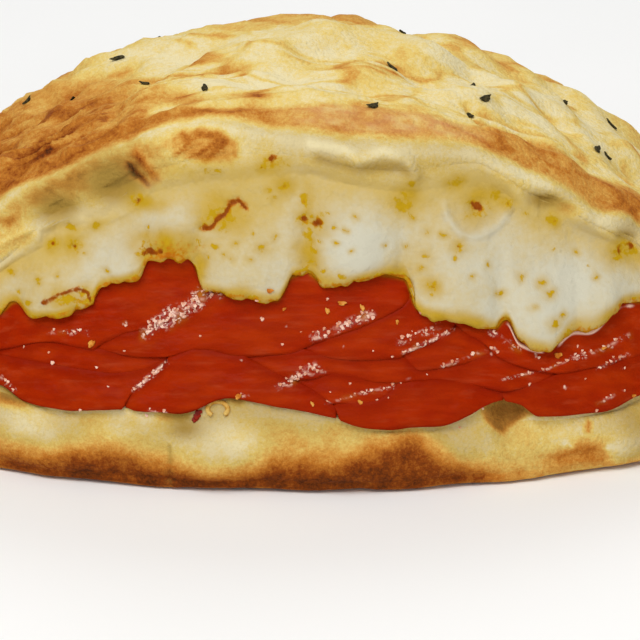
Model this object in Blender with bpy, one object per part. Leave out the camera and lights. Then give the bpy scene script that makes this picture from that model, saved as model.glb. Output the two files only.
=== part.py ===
"""A baked stromboli: a half-moon of folded dough whose long front side gapes, so that
overlapping sausage slices and the melted cheese above them show from end to end.

Length runs along X, the mouth faces -Y, +Z is up, and the flat underside is at z = 0.
Worked out in millimetres and built in metres.
"""

import math

import bmesh
import bpy
import numpy as np
from mathutils import Vector
from mathutils.bvhtree import BVHTree

MM = 0.001

# Overall sizes, in millimetres.
HALF_LENGTH = 100.0
CREST = 66.8  # height of the dome at mid length
FRONT_DEPTH = 59.0  # from the middle line to the lip of the lower dough
BACK_DEPTH = 52.0  # from the middle line to the fold at the back
MID_Y = 2.0
MOUTH_HALF = 87.0  # where the two layers of dough meet at each end
WALL = 9.0  # dough over the filling
FLOOR = 8.5  # dough under the filling
BACK_WALL = 11.0
GAP = 0.34  # between one piece and the next
STEP = 3.1  # distance between cross-sections
TIP = 1.0  # thickness at which a layer ends
SEAM_SHARE = 0.515  # height of the shut seam at the ends, as a share of the dome's
FULL_HEIGHT = 30.0  # below this the profile shrinks with the dome
MIDDLE_Y = -6.0  # where the dome is highest
TIP_Y = 4.5  # the loaf's two ends
SHOULDER = 0.3  # height of the back's fullest point, as a share of the dome's

# The outside of the lower lip, from its top to the ground: how far it stands out in front
# of the mouth, its height as a share of the lip's, and its roughness.
LIP_PROFILE = (
    (0.0, 1.0, 0.0), (1.9, 0.8, 0.4), (3.0, 0.55, 0.6), (3.1, 0.32, 0.5), (2.3, 0.13, 0.3), (0.9, 0.02, 0.0),
    (-0.8, 0.0, 0.0),
)  # fmt: skip
UNDERSIDE = (0.33, 0.67, 1.0)  # points along the flat underside
# The low part of the back: distance past the fold line, share of the dome's height, roughness.
BACK_PROFILE = ((-3.2, 0.0, 0.0), (-0.8, 0.045, 0.2), (1.2, 0.16, 0.5), (2.0, SHOULDER, 0.8))
BACK_ARC = (0.14, 0.3, 0.47, 0.64, 0.82, 1.0)  # points along the arc from there to the crest
TOP_RUN = (0.25, 0.5, 0.75, 1.0)  # points from the crest to the browned band
# The inside of the dough, as shares of its depth.
ROOF_DEPTHS = (0.0, 0.06, 0.14, 0.3, 0.5, 0.75, 1.0)
FLOOR_DEPTHS = (1.0, 0.5, 0.14, 0.06, 0.0)

# Finishes: base colour and roughness.
DOUGH = ("baked_dough", (0.67, 0.42, 0.15), 0.75)
CHEESE = ("melted_cheese", (0.63, 0.58, 0.42), 0.4)
SAUSAGE = ("sausage", (0.366, 0.019, 0.002), 0.3)


def smooth_line(*points):
    """A smooth line z(x) through the points that never swings past them."""
    px, pz = np.array(points, float).T
    h = np.diff(px)
    m = np.diff(pz) / h
    same = m[:-1] * m[1:] > 0
    before = np.where(same, m[:-1], 1.0)
    after = np.where(same, m[1:], 1.0)
    w1, w2 = 2 * h[1:] + h[:-1], h[1:] + 2 * h[:-1]
    d = np.concatenate([m[:1], np.where(same, (w1 + w2) / (w1 / before + w2 / after), 0.0), m[-1:]])

    def at(x):
        x = np.clip(x, px[0], px[-1])
        k = np.clip(np.searchsorted(px, x, side="right") - 1, 0, len(h) - 1)
        t = (x - px[k]) / h[k]
        return (
            (2 * t**3 - 3 * t**2 + 1) * pz[k]
            + (t**3 - 2 * t**2 + t) * h[k] * d[k]
            + (3 * t**2 - 2 * t**3) * pz[k + 1]
            + (t**3 - t**2) * h[k] * d[k + 1]
        )

    return at


def smoothstep(a, b, v):
    t = np.clip((v - a) / (b - a), 0.0, 1.0)
    return t * t * (3 - 2 * t)


# ---------------------------------------------------------------- the dough's edges

# Heights along the mouth: top of the lower lip, edge of the upper crust where the cheese
# meets it, the pale roll above that edge, and where the browned band turns onto the top.
lip_line = smooth_line(
    (-88, 9.4), (-78, 12.2), (-70, 13.6), (-55, 14.6), (-43, 12.3), (-30, 13.3), (-10, 13.6),
    (3, 13.2), (12, 11.5), (24, 11.2), (34, 12.6), (45, 10.4), (56, 10.6), (63, 12.2), (78, 11.9), (88, 9.4),
)  # fmt: skip
gum_line = smooth_line(
    (-88, 10.7), (-80, 17.4), (-70, 25), (-55, 34.7), (-46, 41.2), (-31, 48.2), (-25.5, 52.4),
    (-11, 55.6), (-0.6, 56.3), (10, 53.9), (17, 52.8), (30.6, 54.4), (35, 52.6), (42, 46.5),
    (47, 45), (61, 36.7), (70, 29.5), (80, 19), (88, 10.7),
)  # fmt: skip
roll_line = smooth_line(
    (-92, 17), (-80, 27.5), (-70, 36), (-55, 46), (-49.5, 51), (-35, 59.2), (-24, 62.2),
    (-13.7, 62.8), (-0.6, 60.6), (8, 59.2), (29.6, 58), (36, 54.8), (47.5, 49.2), (52, 45),
    (61, 41.3), (70, 35.5), (80, 27), (92, 16),
)  # fmt: skip
band_line = smooth_line(
    (-92, 18.5), (-80, 30.5), (-70, 39.5), (-55, 50), (-44, 57), (-35, 61.6), (-24, 64), (0, 64.4),
    (12, 63.6), (21, 61.6), (30, 59.6), (37, 57.1), (44, 53.5), (51, 49.6), (61, 44.5), (70, 38.5),
    (80, 29.5), (92, 17.8),
)  # fmt: skip

# Where the browned crust is sunk or swollen along the upper edge: x, z, half-width, half-height, depth.
HOLLOWS = (
    (-32, 51.0, 5.0, 3.4, 2.6),
    (-43.5, 46.0, 3.6, 3.0, 1.8),
    (43.5, 47.6, 4.0, 2.2, 1.8),
    (59.5, 40.0, 3.0, 2.6, 2.0),
    (-20.0, 59.2, 8.0, 2.0, -1.0),
    (10.0, 56.8, 9.0, 1.6, -0.9),
)
LIP_DIPS = ((36.5, 2.6, 2.6), (-15.0, 5.0, 0.6))  # x, half-width, depth
DIP_RECESS = 1.3  # how far a dip is sunk into the lip, for each millimetre of its depth


def crest_height(x):
    return CREST * (1 - np.abs(x / (HALF_LENGTH + 2)) ** 1.9) ** 0.88


def mouth_y(x):
    return MID_Y - FRONT_DEPTH * math.sqrt(max(1 - (x / HALF_LENGTH) ** 2, 0.0))


def back_y(x):
    return MID_Y + BACK_DEPTH * max(1 - abs(x / HALF_LENGTH) ** 2.6, 0.0) ** (1 / 2.6)


def face_y(x, z):
    """The mouth leans back from the lower lip to the upper edge."""
    return mouth_y(x) + 0.5 * (np.clip(z, 14, 36) - 14) + 0.27 * np.maximum(z - 36, 0)


def seam_half(x):
    """Half the height of the shut seam beyond the mouth."""
    return np.interp(abs(x), (88, 97), (0.65, 0.28))


def lip_dip(x):
    return sum(d * math.exp(-(((x - c) / w) ** 2)) for c, w, d in LIP_DIPS)


def lip_z(x):
    if abs(x) > 88:
        return SEAM_SHARE * crest_height(x) - seam_half(x)
    return float(lip_line(x)) - lip_dip(x)


def gum_z(x):
    if abs(x) > 88:
        return SEAM_SHARE * crest_height(x) + seam_half(x)
    return float(gum_line(x))


def bed_share(x):
    """The share of the mouth's height at which the lowest slices lie on the lip."""
    if abs(x) > 86:
        return 0.0
    share = (float(bed_edge(x)) - GAP / 2 - lip_z(x)) / (gum_z(x) - lip_z(x))
    return max(share, 0.0) * float(smoothstep(-86, -80, -abs(x)))


def inner_back_y(x):
    if abs(x) > MOUTH_HALF:
        return face_y(x, gum_z(x)) + np.interp(abs(x), (88, 97), (4.0, 1.2))
    return MID_Y + (BACK_DEPTH - BACK_WALL) * (1 - abs(x / (MOUTH_HALF + 0.5)) ** 2.6) ** (1 / 2.6)


def inside(x, w, d):
    """The point of the filling's space at share w of its height and share d of its depth."""
    open_share = smoothstep(-MOUTH_HALF, -72, -abs(x))
    low, high, crest = lip_z(x), gum_z(x), crest_height(x)
    front_y = face_y(x, low + w * (high - low))
    back = inner_back_y(x)
    peak_d = min(max((MIDDLE_Y - face_y(x, high)) / (back - face_y(x, high)), 0.15), 0.6)
    peak = max(crest - WALL, high + 0.5)
    shoulder = min(0.36 * crest + 2, peak)
    if d < peak_d:
        roof = high + (peak - high) * math.sin(math.pi / 2 * d / peak_d)
    else:
        fall = (d - peak_d) / (1 - peak_d)
        roof = shoulder + (peak - shoulder) * (1 - fall**2.4) ** (1 / 2.4)
    roof = high + (roof - high) * open_share
    sink = smoothstep(0, 0.14, d) * open_share
    bed = low + (min(FLOOR, low) - low) * sink
    return front_y + (back - front_y) * d, bed + w * (roof - bed)


# ---------------------------------------------------------------- surface unevenness

rng = np.random.default_rng(41)
WAVES = [
    (rng.uniform(0.6, 1.0) * amp, rng.uniform(-1, 1, 3) * 2 * math.pi / length, rng.uniform(0, 6.28))
    for length, amp in ((34, 0.45), (22, 0.4), (14, 0.3), (9, 0.22))
    for _ in range(4)
]


def uneven(x, y, z):
    return sum(a * math.sin(k @ (x, y, z) + p) for a, k, p in WAVES)


def top_folds(x, y):
    """Soft wrinkles of the baked top, running along the loaf and dying out at its ends."""
    fade = 1 - smoothstep(55, 95, abs(x))
    wave = math.sin(0.36 * y + 0.045 * x + 1.1 * math.sin(0.07 * x)) + 0.7 * math.sin(
        0.21 * y - 0.09 * x + 2.0
    )
    return 0.55 * wave * fade


# ---------------------------------------------------------------- the crust


def crust_section(x):
    """The closed (y, z, roughness) outline of the dough at x, as a C that opens forwards."""
    crest, low, high = crest_height(x), lip_z(x), gum_z(x)
    front, back = mouth_y(x), back_y(x)
    k = min(crest / FULL_HEIGHT, 1.0)
    slack = smoothstep(64, 90, abs(x))
    roll = min(float(roll_line(x)), (0.965 - 0.13 * slack) * crest)
    band = min(float(band_line(x)), (0.99 - 0.06 * slack) * crest)
    middle = MIDDLE_Y + 10 * (x / HALF_LENGTH) ** 2
    points = [(front - out * k, share * low, rough) for out, share, rough in LIP_PROFILE]
    start, end = points[-1][0], back + BACK_PROFILE[0][0] * k
    points += [(start + s * (end - start), 0.0, 0.0) for s in UNDERSIDE]
    points += [(back + out * k, share * crest, rough) for out, share, rough in BACK_PROFILE[1:]]
    fullest, shoulder = points[-1][:2]
    for s in BACK_ARC:
        across = math.cos(s * math.pi / 2) ** 0.92
        up = math.sin(s * math.pi / 2) ** 0.92
        points.append((middle + (fullest - middle) * across, shoulder + (crest - shoulder) * up, 1.0))
    edge = face_y(x, band) + 4 * k
    for s in TOP_RUN:
        height = crest - (crest - band) * s**1.6
        points.append((middle + s * (edge - middle), height, 1.0 - 0.6 * s**4))
    drop = roll - high
    points += [
        (face_y(x, roll) + 1.7 * k, roll + 0.38 * (band - roll), 0.3),
        (face_y(x, roll) - 1.6 * k, roll - 0.02 * drop, 0.3),
        (face_y(x, roll) - 2.5 * k, roll - 0.28 * drop, 0.3),
        (face_y(x, high + 0.4 * drop) - 2.1 * k, high + 0.4 * drop, 0.3),
        (face_y(x, high) - 1.0 * k, high + 0.08 * drop, 0.1),
    ]
    bed = bed_share(x)
    points += [(*inside(x, 1.0, d), 0.0) for d in ROOF_DEPTHS]
    points.append((*inside(x, 0.5 + bed / 2, 1.0), 0.0))
    floor = [inside(x, bed, d) for d in FLOOR_DEPTHS]
    recess = DIP_RECESS * lip_dip(x) if abs(x) < 86 else 0.0
    points += [(y, z, 0.0) for y, z in floor[:-1]]
    points.append((floor[-1][0] + recess + 0.15 * k, floor[-1][1], 0.0))
    return points


def crust_rings():
    rings = []
    for x in CRUST_STATIONS:
        ring = []
        for y, z, rough in crust_section(x):
            edge = face_y(x, z)
            if y < edge + 3 and z > gum_z(x) - 0.5 and rough > 0:
                y += sum(
                    d * math.exp(-(((x - cx) / rx) ** 2) - ((z - cz) / rz) ** 2)
                    for cx, cz, rx, rz, d in HOLLOWS
                )
            if rough:
                lift = rough * uneven(x, y, z) * min(crest_height(x) / 30, 1.0)
                if z > 0.55 * crest_height(x) and y > edge + 3:
                    z += lift + top_folds(x, y) * smoothstep(3, 12, y - edge)
                else:
                    y += lift * (0.7 if y > 0 else -0.7)
            ring.append((x, y, z))
        rings.append(ring)
    return rings


# ---------------------------------------------------------------- the filling

# Edges of the layers across the mouth, from the bottom up. Each runs the whole way, and a
# layer is what is left between the highest edge under it and the lowest edge over it.
bed_edge = smooth_line(
    (-84, 11.6), (-78, 13.1), (-70, 14.6), (-54.7, 16), (-50, 13.9), (-42.7, 13.1), (-33, 14.5), (-23, 14),
    (-12.5, 17), (-7.7, 16.4), (3.5, 14.4), (12.7, 12), (24, 11.8), (35, 15.2), (38.7, 14.5),
    (42, 12.1), (54, 11.3), (61, 13.3), (78, 12.8), (84, 11.4),
)  # fmt: skip
cheese_edge = smooth_line(
    (-84, 12.9), (-78, 17.2), (-70, 21.4), (-54.7, 27.9), (-51.5, 30.2), (-48.4, 28.4), (-38.5, 31.2),
    (-35.8, 34.5), (-29.6, 36.4), (-27.6, 39.7), (-20.6, 40.2), (-17.6, 35), (-10.3, 33.9),
    (-4.6, 33.4), (-1.8, 37.2), (0.6, 37.6), (4, 35.7), (12.7, 37.1), (17.8, 36.3), (20, 31.7),
    (30.6, 28.8), (34.4, 27.5), (36.2, 28.9), (38.6, 25.2), (44.1, 23.6), (48.6, 26.3),
    (51.5, 25.9), (57.5, 29.4), (61, 29.1), (70, 23.5), (78, 17.6), (84, 12.7),
)  # fmt: skip
slant_edge = smooth_line((-36, 5), (-32.3, 14.4), (-30.3, 17.3), (-24.3, 22.2), (-22, 40))
left_edge = smooth_line(
    (-84, 12.2), (-70, 17.3), (-54.7, 20.5), (-39, 20), (-34.9, 19.8), (-29, 20.6), (-24, 22.5),
)  # fmt: skip
waist_edge = smooth_line(
    (-84, 12.5), (-70, 18.2), (-54.8, 21.6), (-43.6, 24), (-35.4, 23.3), (-25, 23), (-19, 24.6),
    (-11.2, 23.7), (-2.9, 24.1), (2.6, 26), (7.9, 27.6), (13.5, 29.5), (18.6, 32.3), (30, 50),
)  # fmt: skip
lap_edge = smooth_line(
    (-41, 5), (-37.3, 23.6), (-32.7, 26.1), (-26.4, 27.9), (-22.8, 29.3), (-16, 34), (-12, 50),
)  # fmt: skip
dip_edge = smooth_line(
    (-14, 40), (-10.3, 23.6), (-6.8, 21.9), (-2.3, 20), (3, 17.5), (5.3, 15.8), (9, 5),
)  # fmt: skip
belly_edge = smooth_line(
    (-6, 20.2), (0.3, 20.2), (5.3, 20.9), (13.6, 19.6), (24.3, 19.3), (29.7, 18.5), (37, 17),
    (46, 18.8), (52, 40),
)  # fmt: skip
under_edge = smooth_line(
    (2, 15), (6, 16.3), (11.8, 16.3), (14.5, 17.1), (17.2, 19), (24.3, 19.5), (30, 40),
)  # fmt: skip
notch_edge = smooth_line((32, 30), (34.4, 17.4), (36, 15.2), (39, 5))
fan_edge = smooth_line(
    (-6, 26), (-0.6, 24.9), (5.3, 23.5), (11, 23.2), (17.2, 23.2), (20.8, 21.1), (24.3, 21.4),
    (34.6, 23.3), (42, 40),
)  # fmt: skip
flap_edge = smooth_line((15, 5), (17.2, 23.2), (19.9, 24.6), (26.1, 26.8), (29, 29.5), (34, 50))
sweep_edge = smooth_line(
    (22, 50), (26.5, 28.7), (32.4, 24.6), (35.1, 22.3), (43.3, 19.3), (46, 18.8), (53.4, 18.9),
    (60.9, 19.6), (84, 12.1),
)  # fmt: skip

# Each slice: the edges under it, the edges over it, the stretch it is looked for in, and how
# far its free lower edge stands out.
SLICES = (
    ("sausage_slice_01", (waist_edge, lap_edge), (cheese_edge,), (-84, -10), 1.5),
    ("sausage_slice_02", (waist_edge,), (lap_edge, cheese_edge), (-40, 24), 1.7),
    ("sausage_slice_03", (left_edge,), (waist_edge,), (-84, -24.2), 1.1),
    ("sausage_slice_04", (bed_edge, slant_edge), (left_edge,), (-84, -22), 1.6),
    ("sausage_slice_05", (bed_edge,), (slant_edge, waist_edge, dip_edge), (-34, 8), 1.8),
    ("sausage_slice_06", (dip_edge, belly_edge), (waist_edge, fan_edge, sweep_edge), (-12, 48), 1.4),
    ("sausage_slice_07", (dip_edge, under_edge), (belly_edge,), (-5, 26), 1.2),
    ("sausage_slice_08", (bed_edge, dip_edge), (under_edge, belly_edge, notch_edge), (0, 38), 1.8),
    ("sausage_slice_09", (fan_edge, flap_edge), (waist_edge, cheese_edge, sweep_edge), (-4, 31), 1.5),
    ("sausage_slice_10", (fan_edge,), (flap_edge, sweep_edge), (16, 40), 1.1),
    ("sausage_slice_11", (sweep_edge,), (cheese_edge,), (22, 84), 1.6),
    ("sausage_slice_12", (bed_edge, notch_edge), (belly_edge, sweep_edge), (33, 84), 1.7),
)
DEPTHS = (0.06, 0.14, 0.5, 1.0)
# The front of a slice: share of its height, how far it stands out and how far it sags.
SLICE_NOSE = ((0.0, 1.0, 0.35), (0.2, 1.05, 0.0), (0.6, 0.55, 0.0))
# The front of the cheese, in the same way, and the middle and half-width of each of its lobes.
CHEESE_NOSE = ((0.0, 0.85, 0.5), (0.1, 1.0, 0.0), (0.3, 1.0, 0.0), (0.55, 0.75, 0.0), (0.8, 0.35, 0.0))
CHEESE_STAND = 3.0
LOBES = ((-46, 9), (-33, 6), (-24, 6), (-10, 8), (9, 7), (27, 8), (43, 7), (54, 6))
# Places where the sections must fall, so that the notches between the cheese's lobes are kept.
KEPT = (
    -54.7, -51.5, -48.4, -38.5, -35.8, -27.6, -20.6, -17.6, -4.6,
    -1.8, 4, 17.8, 20.2, 34.4, 36.2, 38.6, 48.6, 57.5,
)  # fmt: skip


def stations():
    count = round(2 * 86 / STEP)
    xs = np.linspace(-86, 86, count + 1)
    for kept in KEPT:
        xs[np.argmin(np.abs(xs - kept))] = kept
    return np.sort(xs)


STATIONS = stations()
TAIL = (89.0, 92.0, 94.6, 96.7, 98.3, 99.4)
CRUST_STATIONS = np.concatenate([-np.array(TAIL[::-1]), STATIONS, TAIL])


def share_of_height(x, z):
    return (z - lip_z(x)) / (gum_z(x) - lip_z(x))


def layer_rings(unders, overs, stretch, front_of):
    """Closed sections of a layer: its front, then back along its top and forward under it.

    They fall at the shared stations, so that layers that meet bend together, and the layer
    ends between two stations where it has thinned to TIP.
    """
    xs = [float(x) for x in STATIONS if stretch[0] <= x <= stretch[1]]
    lows = [max(float(f(x)) for f in unders) + GAP / 2 for x in xs]
    highs = [min(float(f(x)) for f in overs) - GAP / 2 for x in xs]
    best, run = (0, 0), 0  # the longest run of sections that are thick enough
    for i, (a, b) in enumerate(zip(lows, highs)):
        run = run + 1 if b - a > TIP else 0
        if run > best[1] - best[0]:
            best = (i - run + 1, i + 1)

    def ring_at(i):
        x, a, b = xs[i], lows[i], highs[i]
        ring = [(x, y, z) for y, z in front_of(x, a, b)]
        for edge, order in ((b, DEPTHS), (a, DEPTHS[::-1])):
            w = share_of_height(x, edge)
            for d in order:
                y, z = inside(x, w, d)
                ring.append((x, y - (0.5 if d == 1.0 else 0.0), z))
        return np.array(ring)

    def tip_between(thin, thick):
        t0, t1 = (highs[i] - lows[i] for i in (thin, thick))
        s = (TIP - t0) / (t1 - t0)
        return [ring_at(thin) * (1 - s) + ring_at(thick) * s] if s < 0.8 else []

    first, last = best[0], best[1] - 1
    rings = [ring_at(i) for i in range(first, last + 1)]
    if first > 0:
        rings = tip_between(first - 1, first) + rings
    if last < len(xs) - 1:
        rings += tip_between(last + 1, last)
    return [[tuple(p) for p in ring] for ring in rings]


def slice_front(stand):
    def front_of(x, a, b):
        reach = stand * min(max(b - a, 0.0) / 4.5, 1.0)
        points = [(face_y(x, a), a)]
        for s, out, sag in SLICE_NOSE:
            z = a + s * (b - a)
            points.append((face_y(x, z) - reach * out - 0.15, z - sag * min(reach, 1.0)))
        points.append((face_y(x, b), b))
        return points

    return front_of


def lobe(x):
    """How far the melted cheese swells forward: most in the middle of each lobe."""
    return 0.45 + 0.55 * max(math.exp(-(((x - c) / r) ** 2)) for c, r in LOBES)


def cheese_front(x, a, b):
    tall = b - a
    grown = min(max(tall, 0.0) / 12, 1.0)
    reach = CHEESE_STAND * lobe(x) * grown
    points = [(face_y(x, a), a)]
    for s, out, sag in CHEESE_NOSE:
        z = a + s * tall
        ripple = 0.25 * uneven(1.6 * x, 1.6 * z, 3) * grown * (0 < s < 0.8)
        points.append((face_y(x, z) - reach * out - 0.2 - ripple, z - sag * min(reach, 1.0)))
    points.append((face_y(x, b), b))
    return points


# ---------------------------------------------------------------- meshes


def mesh_from_rings(name, rings, turned, material, poles=None):
    """Joins the sections into one closed skin, shut by end caps or by a point at each end.

    The last `turned` strips run forwards, so their diagonals are drawn the other way: two
    layers that meet are then split into the same triangles.
    """
    n = len(rings[0])
    points = [p for ring in rings for p in ring]
    faces = []
    for i in range(len(rings) - 1):
        for j in range(n):
            a, b = i * n + j, i * n + (j + 1) % n
            if j < n - turned:
                faces += [(a, b, b + n), (a, b + n, a + n)]
            else:
                faces += [(a, b, a + n), (b, b + n, a + n)]
    last = (len(rings) - 1) * n
    if poles:
        points += poles
        left, right = len(points) - 2, len(points) - 1
        faces += [(left, (j + 1) % n, j) for j in range(n)]
        faces += [(right, last + j, last + (j + 1) % n) for j in range(n)]
    else:
        faces += [tuple(range(n))[::-1], tuple(range(last, last + n))]
    mesh = bpy.data.meshes.new(name)
    mesh.from_pydata([(x * MM, y * MM, z * MM) for x, y, z in points], [], faces)
    mesh.materials.append(material)
    obj = bpy.data.objects.new(name, mesh)
    bpy.context.scene.collection.objects.link(obj)
    face_outwards(obj)
    return obj


def face_outwards(obj):
    bm = bmesh.new()
    bm.from_mesh(obj.data)
    bmesh.ops.triangulate(bm, faces=bm.faces[:])
    bmesh.ops.recalc_face_normals(bm, faces=bm.faces[:])
    if bm.calc_volume(signed=True) < 0:
        bmesh.ops.reverse_faces(bm, faces=bm.faces[:])
    bm.to_mesh(obj.data)
    bm.free()


# ---------------------------------------------------------------- herb flakes baked onto the top

# The flakes along the front of the top (x, y), then more drawn at random over the rest.
FLAKES = (
    (-52.7, 6.8), (-43.4, -1.3), (-29.5, -8.5), (-17.7, -26.3), (12.4, -32.7), (30.1, -25),
    (33, -20.7), (31.2, -11.8), (49.4, 3.9), (58.9, 10.3), (54.2, -14.3), (56.5, -9.5),
)  # fmt: skip
MORE_FLAKES = 10


def flake(name, where, normal, turn, length, width):
    up = normal.normalized()
    along = up.orthogonal().normalized()
    across = up.cross(along)
    sides = 7
    points = [where - up * 0.35 * MM]
    for radius, height in ((1.0, 0.12), (0.55, 0.5)):
        for i in range(sides):
            a = 2 * math.pi * i / sides + turn
            u = radius * length * math.cos(a - turn)
            v = radius * width * math.sin(a - turn) * (1 + 0.25 * math.sin(3 * a))
            side = along * (u * math.cos(turn) - v * math.sin(turn)) + across * (
                u * math.sin(turn) + v * math.cos(turn)
            )
            points.append(where + side * MM + up * height * MM)
    points.append(where + up * 0.62 * MM)
    top = len(points) - 1
    faces = []
    for i in range(sides):
        j = (i + 1) % sides
        faces.append((0, 1 + j, 1 + i))
        faces.append((1 + i, 1 + j, 1 + sides + j, 1 + sides + i))
        faces.append((1 + sides + i, 1 + sides + j, top))
    mesh = bpy.data.meshes.new(name)
    mesh.from_pydata(points, [], faces)
    obj = bpy.data.objects.new(name, mesh)
    face_outwards(obj)
    return obj


def add_flakes(crust):
    depsgraph = bpy.context.evaluated_depsgraph_get()
    tree = BVHTree.FromObject(crust, depsgraph)
    draw = np.random.default_rng(7)
    spots = list(FLAKES)
    while len(spots) < len(FLAKES) + MORE_FLAKES:
        x, y = draw.uniform(-72, 72), draw.uniform(-12, 34)
        if all((x - a) ** 2 + (y - b) ** 2 > 12**2 for a, b in spots):
            spots.append((x, y))
    bag = bpy.data.collections.new("flakes")
    for i, (x, y) in enumerate(spots):
        where, normal, _, _ = tree.ray_cast(Vector((x * MM, y * MM, 0.2)), Vector((0, 0, -1)))
        turn = draw.uniform(0, 6.28)
        length, width = draw.uniform(1.0, 1.5), draw.uniform(0.5, 0.75)
        bag.objects.link(flake(f"flake_{i}", where, normal, turn, length, width))
    union = crust.modifiers.new("flakes", "BOOLEAN")
    union.operation = "UNION"
    union.operand_type = "COLLECTION"
    union.collection = bag
    union.solver = "MANIFOLD"
    bpy.context.view_layer.update()
    joined = bpy.data.meshes.new_from_object(crust.evaluated_get(bpy.context.evaluated_depsgraph_get()))
    crust.modifiers.clear()
    crust.data = joined
    for obj in list(bag.objects):
        bpy.data.objects.remove(obj)
    bpy.data.collections.remove(bag)


def finish(name, colour, roughness):
    material = bpy.data.materials.new(name)
    material.use_nodes = True
    shader = material.node_tree.nodes["Principled BSDF"]
    shader.inputs["Base Color"].default_value = (*colour, 1)
    shader.inputs["Roughness"].default_value = roughness
    shader.inputs["Metallic"].default_value = 0.0
    return material


def stand_on_origin(objects):
    """Hangs the pieces from one empty, set so that the origin is under the middle of the whole."""
    corners = np.array([v.co[:] for obj in objects for v in obj.data.vertices])
    low, high = corners.min(axis=0), corners.max(axis=0)
    base = bpy.data.objects.new("stromboli", None)
    bpy.context.scene.collection.objects.link(base)
    base.location = (-(low[0] + high[0]) / 2, -(low[1] + high[1]) / 2, -low[2])
    for obj in objects:
        obj.parent = base


def main():
    for obj in list(bpy.data.objects):
        bpy.data.objects.remove(obj)
    dough, melted, red = (finish(*look) for look in (DOUGH, CHEESE, SAUSAGE))
    tip = SEAM_SHARE * float(crest_height(TAIL[-1]))
    poles = [(-HALF_LENGTH, TIP_Y, tip), (HALF_LENGTH, TIP_Y, tip)]
    crust = mesh_from_rings("crust", crust_rings(), len(FLOOR_DEPTHS), dough, poles)
    made = [crust]
    under_gum = (lambda x: gum_z(x) - 0.15,)
    cheese = layer_rings((cheese_edge,), under_gum, (-84, 84), cheese_front)
    made.append(mesh_from_rings("mozzarella", cheese, len(DEPTHS), melted))
    for name, unders, overs, stretch, stand in SLICES:
        rings = layer_rings(unders, overs, stretch, slice_front(stand))
        made.append(mesh_from_rings(name, rings, len(DEPTHS), red))
    add_flakes(crust)
    stand_on_origin(made)


main()
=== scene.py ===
"""The looks of a baked stromboli: a browned dough shell with a pale rolled rim, melted
mozzarella with scorched and oily spots, glossy sausage slices and dark herb flakes.

Shapes are worked out in millimetres with the loaf's middle line at y = MID_Y, then set
back onto the frame's own origin and built in metres.
"""

import itertools
import math

import bpy
import numpy as np
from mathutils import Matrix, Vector
from mathutils.bvhtree import BVHTree


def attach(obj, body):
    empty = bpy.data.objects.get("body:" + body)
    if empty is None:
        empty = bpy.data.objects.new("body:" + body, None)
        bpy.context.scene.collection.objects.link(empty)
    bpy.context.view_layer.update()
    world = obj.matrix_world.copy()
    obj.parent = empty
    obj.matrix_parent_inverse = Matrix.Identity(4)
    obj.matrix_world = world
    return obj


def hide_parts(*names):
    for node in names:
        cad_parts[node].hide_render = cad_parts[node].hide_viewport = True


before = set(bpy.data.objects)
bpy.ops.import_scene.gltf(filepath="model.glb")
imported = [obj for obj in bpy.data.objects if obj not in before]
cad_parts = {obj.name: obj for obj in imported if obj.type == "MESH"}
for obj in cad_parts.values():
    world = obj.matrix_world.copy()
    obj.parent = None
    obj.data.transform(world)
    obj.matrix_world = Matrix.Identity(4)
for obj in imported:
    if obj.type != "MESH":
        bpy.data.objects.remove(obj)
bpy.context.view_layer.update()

MM = 0.001

# ---------------------------------------------------------------- sizes, in millimetres

HALF_LENGTH = 100.0
CREST = 66.8
FRONT_DEPTH = 59.0
BACK_DEPTH = 52.0
MID_Y = 2.0
MIDDLE_Y = -6.0
TIP_Y = 4.5
MOUTH_HALF = 87.0
WALL = 9.0
FLOOR = 8.5
BACK_WALL = 11.0
GAP = 0.34
TIP = 1.0
SEAM_SHARE = 0.515
FULL_HEIGHT = 30.0
SHOULDER = 0.3
BLUNTNESS = 2.6
FACE_LEAN = (14, 36, 0.5, 0.27)  # the heights where the mouth starts to lean and eases, and both slopes
SETBACK = 2.1078  # from the middle line's own y to the frame's
SEAM_RUN = (88, 97)  # the pinched seam thins out from the first x to the second
FINE_HALF = 61.0  # half of the stretch of x that has the finest mesh

VIEW_ELEVATION = 22.0
VIEW_DISTANCE = 600.0
VIEW_TARGET = (2.975, -58.0, 32.9)
SEEN_WIDTH = 112.0  # width of the view at the lip
SENSOR = 36.0

# Controls of the dough's outline: how far out, share of the height, roughness.
LIP_PROFILE = (
    (0, 1, 0), (1.9, 0.8, 0.4), (3, 0.55, 0.6), (3.1, 0.32, 0.5), (2.3, 0.13, 0.3), (0.9, 0.02, 0),
    (-0.8, 0, 0),
)
BACK_PROFILE = ((-3.2, 0, 0), (-0.8, 0.045, 0.2), (1.2, 0.16, 0.5), (2, SHOULDER, 0.8))
# Places of its other controls, as shares of their runs.
UNDERSIDE = (0.33, 0.67, 1.0)
BACK_ARC = (0.14, 0.3, 0.47, 0.64, 0.82, 1.0)
TOP_RUN = (0.25, 0.5, 0.75, 1.0)
ROOF_DEPTHS = (0.0, 0.06, 0.14, 0.3, 0.5, 0.75, 1.0)
FLOOR_DEPTHS = (1.0, 0.5, 0.14, 0.06, 0.0)
# Hollows of the rim, and its swells, below zero: x, z, half-width, half-height, depth.
HOLLOWS = (
    (-32, 51, 5, 3.4, 2.6), (-43.5, 46, 3.6, 3, 1.8), (43.5, 47.6, 4, 2.2, 1.8), (59.5, 40, 3, 2.6, 2),
    (-20, 59.2, 8, 2, -1), (10, 56.8, 9, 1.6, -0.9),
)
LIP_DIPS = ((36.5, 2.6, 2.6), (-15, 5, 0.6))  # centre, half-width, depth
DIP_RECESS = 1.3
SKIN_END = 99.4  # x of the crust's last station, beyond which its skin is closed by a point


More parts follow.
